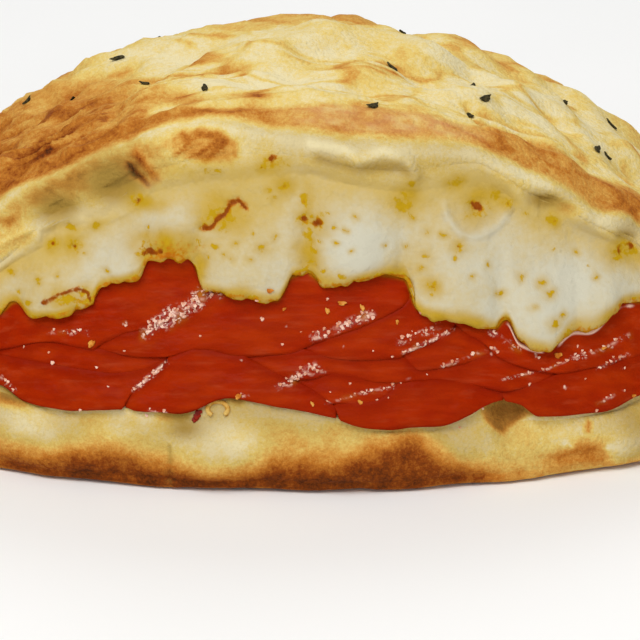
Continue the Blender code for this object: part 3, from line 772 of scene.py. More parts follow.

# How much more the rim, the bed and the top behind the band are baked. The rim's crease is darker as painted
# shade and its ridges paler as painted highlight; the bed's spots are painted shadow in the notches under
# the slices.
RIM_BAKED_AND_LIT = (
    (0.9, *HOLLOW_EDGE, 0.34), (-51.5, 40.2, 6, 1.7, 30, 0.4), (47, 46.4, 2.6, 1.4, 0.22),
    (0.8, *HOLLOW_CREASE, 0.62), (-26, 53.6, 1.6, 2.6, -50, 0.14), (-31.4, 52.8, 2.8, 2, 0.42),
    (1, *SOFT_RIDGE, -0.06), (1.9, *LEFT_RIDGE, -0.3),
)
BED_SHADOW_BROWN = ((-24, 13.6, 2, 1, 0.4), (-11.7, 16.5, 1.6, 0.9, 0.55))
TOP_PATCHES = (
    (-21, -27.5, 2.6, 1.8, 0.36), (-7.8, -31, 2.4, 4, 0.34), (-17, -17, 6, 1.6, 0.26),
    (50.9, -22.6, 1.2, 1.9, 0.36), (-24.5, -31, 4, 1.3, -0.28), (-14, -31, 4.5, 1.5, -0.26),
    (2, -33, 5, 1.6, -0.18), (33, -27, 5.5, 1.2, 0.2),
)
# How much more the lower lip is baked, and how high up it the browning reaches, as a share. The browning is
# partly painted shade where the lip curves under, and the spot at (-52.8, 14.4) is painted shadow under the
# slices' corner.
LIP_PATCHES = (
    (-38, 11.5, 4.5, 2, 0.1), (-2, 11.5, 6, 2.5, 0.12), (6, 10.5, 4, 2, 0.1), (43, 8.5, 8, 4, 0.1),
    (57, 6, 4, 4, 0.05), (-12, 9, 7, 3, -0.12), (47, 6.8, 0.7, 0.7, -0.34), (48.3, 6.1, 0.5, 0.5, -0.3),
    (55.1, 5, 0.7, 0.7, -0.34), (51.2, 9, 0.6, 0.8, 0.75), (-52, 11, 5, 3, -0.08), (-30, 8, 12, 4, 0.03),
    (49, 1.6, 10, 1.7, -0.42), (60, 3.5, 4.5, 3, -0.34), (-52.8, 14.4, 3.8, 1.7, 0.75), (20, 4, 9, 4, 0.1),
    (-34, 3.5, 9, 3, 0.05), (2, 3, 6, 3, 0.04), (8, 7, 9, 3, 0.07), (19, 9.5, 6, 2.5, 0.12),
    (-2, 6, 6, 3, 0.08), (-2, 2, 12, 2, 0.12), (59, 8, 5, 4, 0.06), (49, 12, 8, 2, 0.1),
)
browning_and_shade_line = smooth_line(
    (-100, 0.9), (-60, 0.76), (-52, 0.7), (-44, 0.78), (-38, 0.9), (-32, 0.83), (-26, 0.76), (-22, 0.7),
    (-16, 0.66), (-10, 0.7), (-5, 0.86), (0, 0.82), (4, 0.82), (9, 0.96), (14, 1.14), (20, 1.2), (24, 1),
    (28, 0.74), (34, 0.6), (40, 0.62), (45, 0.76), (50, 0.92), (53, 0.88), (57, 0.62), (62, 0.6), (100, 0.9),
)

# Painted shade, olive: in the rim's hollows and under its soft ridge, lighter along the ridges as painted
# highlight; painted shadow on the bed under the slices; shade over the lip.
RIM_SHADE = (
    (-32.8, 51.8, 6, 3.9, 1.15), (-43.8, 46.2, 4.9, 3.5, 1), (43, 47.7, 4.7, 2.1, 0.95),
    (58.8, 40.6, 2.6, 2.4, 0.6), (50.4, 43, 1.8, 1.8, 0.35), (-17.3, 59, 6.4, 2.6, -0.45),
    (-31.4, 52.8, 2.6, 1.8, -0.45), (1.3, (3, 57.4), (9, 55.6), (17, 56), (20.5, 53.6), 0.42),
    (0.9, *SOFT_RIDGE, -0.3), (1.6, *LEFT_RIDGE, -0.3), (0.8, *HOLLOW_CREASE, -0.75),
    (1, *HOLLOW_EDGE, -0.5),
)
BED_SHADOW = ((-21.4, 12.9, 3.2, 1.7, 0.9), (-11.8, 16.4, 1.7, 1.3, 0.75), (-53, 14.9, 3.6, 1.7, 0.7))
LIP_SHADE = (
    (-20, 12.5, 6, 3, 0.2), (-21.2, 11.6, 3.2, 1.9, 0.55), (46, 11, 8, 4, -0.2), (59.5, 8, 3.5, 5, 0.4),
    (-10, 10, 5, 3, -0.25),
)


def crust_controls(x):
    """The outline of the dough at every x: (y, z) of each control and its roughness."""
    crest, low, high = crest_height(x), lip_z(x), gum_z(x)
    front, back = mouth_y(x), back_y(x)
    k = np.minimum(crest / FULL_HEIGHT, 1.0)
    slack = ease(64, 90, np.abs(x))
    roll = np.minimum(roll_line(x), (0.965 - 0.13 * slack) * crest)
    band = np.minimum(band_line(x), (0.99 - 0.06 * slack) * crest)
    middle = MIDDLE_Y + 10 * (x / HALF_LENGTH) ** 2
    points = [(front - out * k, share * low, rough) for out, share, rough in LIP_PROFILE]
    start, end = points[-1][0], back + BACK_PROFILE[0][0] * k
    points += [(start + s * (end - start), 0 * x, 0.0) for s in UNDERSIDE]
    points += [(back + out * k, share * crest, rough) for out, share, rough in BACK_PROFILE[1:]]
    fullest, shoulder = points[-1][:2]
    for s in BACK_ARC:
        across = math.cos(s * math.pi / 2) ** 0.92
        up = math.sin(s * math.pi / 2) ** 0.92
        points.append((middle + (fullest - middle) * across, shoulder + (crest - shoulder) * up, 1.0))
    edge = face_y(x, band) + 4 * k
    for s in TOP_RUN:
        points.append((middle + s * (edge - middle), crest - (crest - band) * s**1.6, 1.0 - 0.6 * s**4))
    drop = roll - high
    brow, cheek = face_y(x, roll), high + 0.4 * drop
    points += [
        (brow + 1.7 * k, roll + 0.38 * (band - roll), 0.3),
        (brow - 1.6 * k, roll - 0.02 * drop, 0.3),
        (brow - 2.5 * k, roll - 0.28 * drop, 0.3),
        (face_y(x, cheek) - 2.1 * k, cheek, 0.3),
        (face_y(x, high) - 1.0 * k, high + 0.08 * drop, 0.1),
    ]
    bed = bed_share(x)
    points += [(*inside(x, 1.0, d), 0.0) for d in ROOF_DEPTHS]
    points.append((*inside(x, 0.5 + bed / 2, 1.0), 0.0))
    points += [(*inside(x, bed, d), 0.0) for d in FLOOR_DEPTHS]
    y, z, _ = points.pop()
    recess = np.where(np.abs(x) < 86, DIP_RECESS * lip_dip(x), 0.0)
    points.append((y + recess + 0.15 * k, z, 0.0))
    rough = np.array([p[2] for p in points])
    return np.stack([np.stack(p[:2], axis=-1) for p in points], axis=1), rough


def rim_relief(x, z, points):
    """How far the rolled rim stands out: soft curls, creases and hollows."""
    folds = 0.5 * dab(x, z, -17.3, 59.2, 6.4, 2.8) * ridges(points @ SLANT.T, (3.4, 9, 1.5), 12)
    soft = 0.35 * lumps(points, (6, 6, 4.5), 13) + 0.12 * lumps(points, (2.2, 2.2, 1.7), 14)
    return marks(x, z, RIM_RIDGES) + folds + soft - marks(x, z, HOLLOWS)


def top_folds(x, y):
    wave = np.sin(0.36 * y + 0.045 * x + 1.1 * np.sin(0.07 * x)) + 0.7 * np.sin(0.21 * y - 0.09 * x + 2.0)
    return 0.55 * wave * ease(95, 55, np.abs(x))


def blisters(points, place):
    """Small baked bubbles, and a few burst ones, over the top and the back."""
    draw = np.random.default_rng(23)
    up = np.zeros(points.shape[:2])
    for _ in range(BLISTERS):
        cx, cy = draw.uniform(-80, 80), draw.uniform(-38, 44)
        radius, height = draw.uniform(1.4, 4.2), draw.uniform(0.25, 0.7)
        distance = np.hypot(points[..., 0] - cx, (points[..., 1] - cy) * 1.3) / radius
        up += height * np.exp(-(distance**3)) * (distance < 2)
    return up * span(place, 11, 12.5, 21.2, 22)


def flap_share(x, place):
    """Where the flap lies: right of the middle, behind the band."""
    return span(x, 30, 33, 47, 54) * ease(20.3, 20.8, place) * (place < 24)


def flap_profile(x, y, column):
    """The flap's lines, each as high as that column of their table says."""
    behind_band = y - face_y(x, band_line(x)) - 4.0
    return sum(line[column] * bell(behind_band - line[0], line[1]) for line in FLAP_LINES)


def warped(points):
    """Points pushed about, so that ridges drawn over them meander."""
    push = np.stack([lumps(points, (17, 11, 11), seed) for seed in (26, 27, 28)], axis=-1)
    return points + 3.0 * push


def lip_relief(x, z, points):
    """Swells of the lip, its crease and the pinched edge along its foot."""
    swell = 0.38 * lumps(points, (9, 9, 5), 7) + 0.14 * lumps(points, (2.6, 2.6, 2), 8)
    swell += 0.42 * bell(z - 1.1, 0.55) - 0.3 * bell(z - 2.3, 0.6) + marks(x, z, LIP_SWELLS)
    swell += 0.6 * ease(38, 48, x) * stroke(x, z, 0.6, *FLANGE)
    return swell * ease(0.0, 0.03, z / np.maximum(lip_z(x), 1.0))


def top_relief(x, bent, points):
    """Sharp little ridges of the dough over the top and the back, finest at the left."""
    tight = 0.42 * ridges(bent, (17, 4.2, 4.2), 3) + 0.22 * ridges(bent, (7, 2.1, 2.1), 4)
    tight = (1 - 0.6 * ease(22, 45, x)) * tight + 0.08 * ridges(points, (2.6, 1.2, 1.2), 5)
    slanted = bent @ SLANT.T
    left = 0.75 * ridges(slanted, (13, 3, 3), 21) + 0.26 * ridges(slanted, (5, 1.3, 1.3), 41)
    flakes = 0.22 * ridges(bent, (12, 2.2, 2.2), 59)
    return tight + ease(-14, -34, x) * left + span(x, -36, -24, 24, 38) * flakes


def crust_relief(points, place, rough):
    """Height of the skin's relief at each point, out along its normal."""
    x, y, z = axes(points)
    crest = crest_height(x)
    small = np.minimum(crest / FULL_HEIGHT, 1.0)
    behind_face = y - face_y(x, z)
    on_top = ease(0.5, 0.62, z / crest) * ease(2, 5, behind_face)
    lift = rough * uneven(points) * small * (0.7 + 0.3 * on_top)
    lift += on_top * top_folds(x, y) * ease(3, 12, behind_face)
    tight = top_relief(x, warped(points), points) + blisters(points, place)
    lift += small * span(place, 10, 12, 22.0, 23.5) * tight
    lift += small * span(place, 22.6, 23.6, 27.2, 28.4) * rim_relief(x, z, points)
    lift += small * ease(5.6, 4.4, place) * lip_relief(x, z, points)
    lift += small * span(place, 9.3, 10.5, 11.5, 12.5) * 0.35 * lumps(points, (8, 8, 5), 9)
    lift += small * flap_share(x, place) * flap_profile(x, y, 2)
    lift -= span(place, 39.9, 40.4, 40.8, 41.0) * 1.6 * dab(x, z, 36.8, 13.0, 2.8, 2.4)
    return lift - flap_share(x + 3, place) * 0.7 * stroke(x, y, 0.55, *FLAP_NOTCH)


def rim_bake_and_light(points):
    x, _, z = axes(points)
    roll = roll_line(x)
    bake_and_light = 0.17 + 0.05 * lumps(points, (9, 9, 6), 16)
    under_roll = (roll - z) / np.maximum(roll - gum_line(x), 2.0)
    crusty = 0.85 + 0.6 * lumps(points, (2.2, 2, 1.5), 62) + 0.3 * lumps(points, (1, 1, 0.8), 63)
    bake_and_light += 0.46 * ease(-22, -30, x) * crusty * bell(under_roll - 0.38, 0.22)
    patch = ease(0.15, 0.65, dab(x, z, -17.3, 59.2, 6.4, 3) + 0.12 * lumps(points, 1.6, 58))
    bake_and_light += patch * (0.32 + 0.26 * ease(0.1, 0.8, ridges(points @ SLANT.T, (3.4, 9, 1.5), 12)))
    # The paler line along the roll is painted highlight.
    bake_and_light += marks(x, z, RIM_BAKED_AND_LIT) - 0.12 * bell(z - roll + 0.6, 1.1)
    return bake_and_light - 0.16 * ease(-26, -30, x) * ease(0.72, 0.95, under_roll)


def lip_bake_and_shade(points):
    x, _, z = axes(points)
    share = z / np.maximum(lip_z(x), 1) + 0.065 * lumps(points, 11, 15)
    start = browning_and_shade_line(x)
    # Browner towards the foot: partly the lip's bake, partly painted shade where it curves under.
    bake_and_light = 0.14 + 0.66 * ease(start, start - 0.62, share)
    # A paler line at the foot, painted highlight on its crisp edge, with a darker one above it.
    bake_and_light += 0.05 * bell(z - 1.9, 0.6) - 0.18 * bell(z - 0.8, 0.35)
    bake_and_light += 0.09 * lumps(points, (8, 8, 5), 39) + 0.04 * lumps(points, (2.4, 2.4, 2), 46)
    return np.minimum(bake_and_light + marks(x, z, LIP_PATCHES), 0.86 - 0.26 * ease(38, 45, x))


def band_bake(points, bent):
    x = points[..., 0]
    bake_and_light = 0.5 + 0.08 * lumps(points, (12, 12, 5), 17) + 0.05 * ease(30, 40, x) + 0.15 * ease(-10, -32, x)
    floury = 0.05 + 0.2 * ease(0, 0.7, lumps(points, (2, 1, 0.9), 60))
    streaks = ease(0.3, 0.9, ridges(bent, (12, 2.4, 2), 40))
    return bake_and_light - span(x, -4, 6, 24, 30) * floury + 0.12 * streaks


def top_bake_and_shade(points, place, bent):
    x, y, _ = axes(points)
    slanted = bent @ SLANT.T
    streaks = ease(0.2, 0.9, ridges(bent, (17, 4.2, 6), 19))
    bake_and_light = 0.12 + 0.14 * lumps(points, (13, 8, 8), 18)
    bake_and_light += 0.1 * ease(0.3, 0.8, lumps(points, (3.6, 2.2, 2.2), 52)) * ease(-30, -10, x)
    bake_and_light += 0.32 * streaks * ease(-0.2, 0.4, lumps(points, (20, 12, 12), 20))
    left = ease(-12, -34, x + 0.35 * (y + 40)) * ease(34, -8, y)
    # Painted shade in the troughs of the left's ridges, drawn with the same noise as their relief.
    trough_shade = 0.2 * ease(0.1, -0.7, ridges(slanted, (13, 3, 3), 21))
    trough_shade += 0.14 * ease(0.2, -0.7, ridges(slanted, (5, 1.3, 1.3), 41))
    bake_and_light += left * (0.56 - bake_and_light + 0.12 * lumps(points, (6, 4, 4), 29) + trough_shade)
    bake_and_light += left * 0.18 * ease(0.25, 0.75, lumps(points, (1.9, 1.3, 1.3), 45))
    bake_and_light += 0.16 * ease(38, 62, x) * ease(-0.2, 0.4, lumps(points, (9, 7, 7), 22))
    flaky = span(x, -36, -24, 24, 38) * ease(4, -12, y) * ease(-0.35, 0.4, lumps(points, (7, 4, 4), 61))
    bake_and_light += flaky * (0.22 * ease(0.1, 0.8, ridges(bent, (12, 2.2, 2.2), 57)) - 0.05)
    bake_and_light += (0.75 + 0.5 * lumps(points, (1.6, 1.2, 1.2), 66)) * marks(x, y, TOP_PATCHES)
    bake_and_light += flap_share(x, place) * flap_profile(x, y, 3) + 0.2 * stroke(x, y, 0.5, *FLAP_NOTCH)
    back = 0.4 + 0.13 * lumps(points, (22, 14, 12), 23) + 0.1 * streaks
    ends = 0.46 + 0.12 * lumps(points, (9, 9, 7), 24)
    return blend(blend(bake_and_light, back, ease(5, 30, y)), ends, ease(66, 86, np.abs(x)))


def crust_bake_and_light(points, place):
    """How far each spot is baked, from 0, floury dough, to 1, charred, with painted shade and highlight laid
    into the same values.
    """
    x, _, z = axes(points)
    bent = warped(points)
    bottom = 0.52 + 0.1 * lumps(points, 14, 25)
    bake_and_light = np.where(place < LIP_END, lip_bake_and_shade(points), bottom)
    bake_and_light = blend(bake_and_light, top_bake_and_shade(points, place, bent), ease(9.6, 11.0, place))
    thin = bell(x + 19, 11)
    start = 21.9 - 0.5 * ease(26, 42, x) + 0.25 * thin + 0.12 * lumps(points, (4, 4, 50), 64)
    soft = 0.45 - 0.17 * thin
    bake_and_light = blend(bake_and_light, band_bake(points, bent), ease(start - soft, start + soft, place))
    start = 22.9 - 0.4 * thin + 0.1 * lumps(points, (5, 5, 50), 65)
    bake_and_light = blend(bake_and_light, rim_bake_and_light(points), ease(start, start + 1.1 - 0.3 * thin, place))
    bake_and_light = blend(bake_and_light, 0.12, ease(28.2, 29.2, place))
    bed = np.maximum(ease(39.5, 40.2, place), ease(1.0, 0.0, place))
    # Painted shade in the wedge, and painted shadow in the notches under the slices.
    return bake_and_light + bed * (0.60 * wedge_shade(x, z) + marks(x, z, BED_SHADOW_BROWN))


def wedge_shade(x, z):
    """Painted shade, dark and sharp-edged, in the recess where the lip dips between two slices."""
    over = z - 9.0 - np.maximum(35.4 - x, 0.6 * (x - 35.4))
    return ease(-0.6, 0.9, over) * span(x, 31.0, 33.0, 40.5, 42.5)


def rim_painted_shade(points):
    """Painted shade, greenish olive, over the pale rim: deepest in its hollows, lighter along its ridges as
    painted highlight.
    """
    x, _, z = axes(points)
    tint = 0.24 + 0.18 * span(x, -22, 0, 24, 40) + 0.1 * lumps(points, (8, 8, 4), 30)
    # The lighter line along the roll is painted highlight.
    return tint + marks(x, z, RIM_SHADE) - 0.12 * bell(z - roll_line(x) + 0.6, 1.0)


# Painted shade: olive over the rim, painted shadow where the slices overhang the lip and on the bed, shade
# over the lip's upper part and along its crease.
def crust_painted_shade(points, place, bake_and_light):
    x, _, z = axes(points)
    on_bed = ease(39.5, 40.5, place)
    bed = 0.45 * (wedge_shade(x, z) + ease(1.8, 0.2, bed_edge(x) - z)) + marks(x, z, BED_SHADOW)
    bed *= np.maximum(ease(1.6, 0.2, place), on_bed)
    shade = 0.36 + marks(x, z, LIP_SHADE) + 0.3 * lumps(points, (7, 7, 5), 47)
    shade *= 1 - ease(3.0, 6.0, place) * (1 - on_bed)
    shade = np.maximum(shade, 0) * ease(0.46, 0.22, bake_and_light)
    # Painted shade along the lip's crease.
    crease_shade = 0.7 * stroke(x, z, 0.55, *LIP_CREASE) * ease(6.0, 3.0, place)
    crease_shade *= ease(-0.6, 0.3, lumps(points, 1.2, 55))
    rim = span(place, 23.0, 24.0, 28.5, 29.5) * rim_painted_shade(points)
    return rim + np.maximum(np.maximum(bed, shade), crease_shade)


def crust_rosy(points, place):
    """A pink tinge along the middle of the band."""
    share = span(place, 21.7, 22.1, 22.7, 23.3) * span(points[..., 0], -8, 6, 27, 35)
    return 0.46 * share * (0.75 + 0.55 * lumps(points, (1.5, 0.9, 0.8), 67))


def make_crust(material):
    xs = stations_between(-SKIN_END, SKIN_END, 0.62, 1.15)
    controls, rough = crust_controls(xs)
    points, place = station_curves(xs, controls, CRUST_STEPS)
    roughness = np.interp(place, np.arange(len(rough) + 1), [*rough, rough[0]])
    moved = raised(points, crust_relief(points, place, roughness))
    moved[..., 2] = np.maximum(moved[..., 2], 0.0)
    moved[..., 1] = np.minimum(moved[..., 1], points[..., 1].max() + 0.6)
    bake_and_light = crust_bake_and_light(points, place)
    masks = {"bake_and_light": bake_and_light, "olive_shade": crust_painted_shade(points, place, bake_and_light), "rosy": crust_rosy(points, place)}
    tip = SEAM_SHARE * float(crest_height(xs[-1]))
    ends = np.array([(-HALF_LENGTH, TIP_Y, tip), (HALF_LENGTH, TIP_Y, tip)])
    crust = skin("crust_baked", moved, ends, material, masks)
    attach(crust, "root")
    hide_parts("crust")
    return crust


# ---------------------------------------------------------------- scraps: herbs, fat crumbs of painted glint, and oil

# Herb flakes on the top of the dough: x, y.
FLAKES = (
    (-52.7, 6.8), (-43.4, -1.3), (-29.5, -8.5), (-17.7, -26.3), (12.4, -32.7), (30.1, -25), (33, -20.7),
    (31.2, -11.8), (49.4, 3.9), (58.9, 10.3), (54.2, -14.3), (56.5, -9.5),
)
MORE_FLAKES = 10
SCRAP_SIDES = 11
# Loose pale crumbs of fat, placed as painted glints, drops of oil and drips of sauce on the slices: x, z on
# the face of the mouth.
FAT_GLINT_CRUMBS = (
    (-31.6, 27.5), (-44.9, 20.4), (-36.9, 20.4), (-31.9, 23.4), (-34.8, 17.5), (-39.8, 13.2), (-8.2, 32.4),
    (4.3, 32.7), (-3.7, 25.5), (12.4, 24.3), (22, 20.2), (15.8, 23.3), (13.1, 16.5), (15.1, 16.8),
    (27.9, 10.9), (52.7, 11.4), (-45.6, 22), (-18.3, 26.5), (-7.3, 29.5), (-0.4, 27.5), (20.8, 30.1),
    (42.1, 21.5), (49.2, 22.6), (34.6, 23.1), (8.3, 19.2), (4.8, 17.9), (40.4, 17.4), (50.6, 17.2),
    (57.9, 18), (-50.2, 22.4), (-27.9, 13.2),
)
OIL_DROPS = (
    (-11.5, 17.1), (1.6, 16), (10.1, 16.2), (54, 21.7), (16.7, 28.8), (10.5, 31.2), (6.9, 32), (4.3, 30.8),
    (59.5, 13.1), (-37.8, 24.1), (-5.9, 34), (-3.4, 31.1), (45.6, 21.5),
)
DRIPS = ((-18.6, 14.3), (-18.9, 13.6), (-19.2, 13))
CRUMBS_PER_MM = 0.95
# A curl of onion that sticks out under the slices: centre, half-width, half-height, thickness.
CURL = (-15.2, 15.0, 1.8, 1.2, 0.46)


def scrap_mesh(where, up, turn, length, width):
    """Corners and faces of one curled, ragged scrap lying on the food."""
    along = up.orthogonal().normalized()
    across = up.cross(along)
    thick = min(length, 1.0)
    corners = [where - up * 0.3 * MM]
    for radius, height in ((1.0, 0.10), (0.85, 0.34), (0.4, 0.42)):
        for i in range(SCRAP_SIDES):
            a = 2 * math.pi * i / SCRAP_SIDES
            ragged = 1 + 0.16 * math.sin(3 * (a + turn)) + 0.12 * math.sin(5 * a + 9 * turn)
            u = radius * length * ragged * math.cos(a)
            v = radius * width * ragged * math.sin(a)
            side = along * (u * math.cos(turn) - v * math.sin(turn))
            side += across * (u * math.sin(turn) + v * math.cos(turn))
            rise = (height + 0.22 * (u / length) ** 2) * thick
            corners.append(where + side * MM + up * rise * MM)
    corners.append(where + up * 0.4 * thick * MM)
    faces = []
    for i in range(SCRAP_SIDES):
        edge = np.array((1 + i, 1 + (i + 1) % SCRAP_SIDES))
        rings = [(edge + ring * SCRAP_SIDES).tolist() for ring in range(3)]
        faces.append((0, *rings[0][::-1]))
        faces += [(*low, *high[::-1]) for low, high in itertools.pairwise(rings)]
        faces.append((*rings[-1], len(corners) - 1))
    return corners, faces


def make_scraps(name, tree, rays, lengths, share, draw, material):
    """One piece of many scraps, each lying where its ray meets the food."""
    corners, faces = [], []
    for start, way in rays:
        where, normal, _, _ = tree.ray_cast(start, way)
        turn = draw.uniform(0, 6.28)
        length = draw.uniform(*lengths)
        width = length * draw.uniform(*share)
        if where is None:
            continue
        new_corners, new_faces = scrap_mesh(where, normal.normalized(), turn, length, width)
        faces += [tuple(len(corners) + i for i in face) for face in new_faces]
        corners += new_corners
    mesh = bpy.data.meshes.new(name)
    mesh.from_pydata([tuple(c) for c in corners], [], faces)
    mesh.materials.append(material)
    scraps = add_object(name, mesh)
    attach(scraps, "root")


def surface_tree(pieces):
    """A search tree over the surfaces of some pieces."""
    corners, faces = [], []
    for piece in pieces:
        faces += [[len(corners) + i for i in face.vertices] for face in piece.data.polygons]
        corners += [v.co for v in piece.data.vertices]
    return BVHTree.FromPolygons(corners, faces)


def make_flakes(crust, material):
    draw = np.random.default_rng(7)
    spots = list(FLAKES)
    while len(spots) < len(FLAKES) + MORE_FLAKES:
        x, y = draw.uniform(-72, 72), draw.uniform(-12, 34)
        if all((x - a) ** 2 + (y - b) ** 2 > 12**2 for a, b in spots):
            spots.append((x, y))
    rays = [(Vector((x * MM, (y + SETBACK) * MM, 0.2)), Vector((0, 0, -1))) for x, y in spots]
    tree = surface_tree([crust])
    make_scraps("herb_flakes", tree, rays, (1.0, 1.5), (0.45, 0.55), draw, material)


def ray_at(x, z):
    """A ray along the line of sight to the spot (x, z) on the face of the mouth."""
    tilt = math.radians(VIEW_ELEVATION)
    way = Vector((0, math.cos(tilt), -math.sin(tilt)))
    spot = Vector((x, float(face_y(x, z)) + SETBACK, z)) * MM
    return spot - way * 0.03, way


def make_crumbs(pieces):
    """Pale crumbs of fat that stand in for glints, drops of oil and drips of sauce that lie on the slices.
    """
    tree = surface_tree(pieces)
    draw = np.random.default_rng(11)
    crumbs = list(FAT_GLINT_CRUMBS)
    for width, much, *line in GLINTS:
        for (ax, az), (bx, bz) in itertools.pairwise(line):
            for _ in range(round(CRUMBS_PER_MM * much * math.hypot(bx - ax, bz - az) * (0.6 + width))):
                t = draw.uniform(0, 1)
                off = draw.normal(0, 0.45) * width
                crumbs.append((ax + t * (bx - ax) - 0.4 * off, az + t * (bz - az) + off))
    fat_glint = morsel_finish("pale_fat_glint", FAT_GLINT_PALE, FAT_GLINT_DEEP, 0.3)
    oil = morsel_finish("orange_oil", OIL_ORANGE, OIL_BROWN, 0.2)
    sauce = morsel_finish("red_sauce", SAUCE_RED, SAUCE_DARK, 0.35)
    for name, spots, lengths, share, material in (
        ("fat_glint_crumbs", crumbs, (0.18, 0.42), (0.5, 0.95), fat_glint),
        ("oil_drops", OIL_DROPS, (0.4, 0.85), (0.5, 0.8), oil),
        ("sauce_drip", DRIPS, (0.7, 0.8), (0.7, 0.8), sauce),
    ):
        rays = [ray_at(*spot) for spot in spots]
        make_scraps(name, tree, rays, lengths, share, draw, material)


def make_curl(pieces, material):
    """A ring-shaped curl that lies against the food with a gap at one side."""
    tree = surface_tree(pieces)
    cx, cz, across, up, thick = CURL
    around = np.linspace(0, 2 * math.pi, 9)[:-1, None]
    rings = []
    for a in np.linspace(-0.25 * math.pi, 1.3 * math.pi, 26):
        where = tree.ray_cast(*ray_at(cx + across * math.cos(a), cz + up * math.sin(a)))[0]
        centre = np.array(where) / MM - (0, SETBACK + 0.1, 0)
        out = np.array((math.cos(a), 0, math.sin(a)))
        rings.append(centre + thick * (np.cos(around) * out + np.sin(around) * (0, 1, 0)))
    points = np.array(rings)
    curl = skin("onion_curl", points, caps(points), material, {})
    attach(curl, "root")


# ---------------------------------------------------------------- layers of the filling

INNER_DEPTHS = (0.03, 0.06, 0.14, 0.3, 0.5, 0.75, 1.0)


def layer_stations(unders, overs, stretch, fine, coarse, tip):
    """The run of x over which the layer is thicker than tip, with its lower and upper edge."""
    xs = stations_between(*map(float, stretch), fine, coarse)
    low = np.max([f(xs) for f in unders], axis=0) + GAP / 2
    high = np.min([f(xs) for f in overs], axis=0) - GAP / 2
    thick = np.flatnonzero(high - low > tip)
    run = max(np.split(thick, np.flatnonzero(np.diff(thick) > 1) + 1), key=len)
    return xs[run], low[run], high[run]


def layer_loop(xs, low, high, front, front_steps):
    """The layer's skin: its front, drawn smoothly through the controls, then back and under."""
    rings, steps = list(front), [*front_steps, *[1] * (2 * len(INNER_DEPTHS))]
    for edge, depths in ((high, INNER_DEPTHS), (low, INNER_DEPTHS[::-1])):
        for d in depths:
            y, z = inside(xs, share_of_height(xs, edge), d)
            rings.append((y - (0.5 if d == 1.0 else 0.0), z))
    controls = np.stack([np.stack(r, axis=-1) for r in rings], axis=1)
    return station_curves(xs, controls, steps)


def caps(points):
    return np.array([points[0].mean(axis=0), points[-1].mean(axis=0)])


# ---------------------------------------------------------------- the melted cheese

# The front of the cheese from its lower edge up: share of its height, stand, sag.
CHEESE_FRONT = (
    (0, 0.5, 0.4), (0.02, 0.86, 0.45), (0.1, 1, 0), (0.3, 1, 0), (0.55, 0.75, 0), (0.8, 0.4, 0),
)
CHEESE_STEPS = (2, 5, 9, 14, 16, 16, 12, 10, 2)
# How far the cheese runs up onto the rim as a thin film, as a share of the rim's height.
film_line = smooth_line(
    (-84, 0.3), (-56, 0.3), (-46, 0.42), (-25, 0.42), (-17, 0.5), (20, 0.6), (34, 0.6), (40, 0.5), (64, 0.5),
    (84, 0.3),
)
FILM_START, FILM_END = 7.0, 8.0  # its places along the outline
RAGGED_EDGE = 0.45
PROBE_START = 20  # how far in front of the cheese a search for the crust behind it starts
PROBE_REACH = 0.026  # in metres

# Scorched spots on the cheese: x, z, radius, strength.
SCORCHES = (
    (0.4, 46.9, 0.75, 0.9), (2.2, 46.1, 0.95, 1.1), (-5.3, 57.2, 1, 1.1), (-3.6, 52.4, 0.6, 0.5),
    (31, 47.6, 1.1, 1.2), (30.2, 48.4, 0.6, 0.8), (36.5, 48, 0.5, 0.7), (27.9, 41.6, 0.5, 0.8),
    (27.2, 52.4, 0.5, 0.4), (22.9, 35.3, 0.5, 0.6), (-44.6, 40.4, 0.5, 0.7), (-40.9, 40.1, 0.6, 0.8),
    (-29.6, 48.8, 0.6, 0.9), (59.1, 38, 1, 0.8), (57.2, 37.4, 0.7, 0.7), (-7.4, 56, 0.4, 0.6),
    (-27.2, 40.9, 1.1, 1.1), (-25.4, 41.3, 0.9, 1), (-28.3, 40.2, 0.7, 0.9), (-17.6, 45.2, 0.5, 0.7),
    (34.2, 49.9, 0.4, 0.4), (44.8, 44.2, 0.4, 0.5), (-39, 33.2, 0.5, 0.8),
)
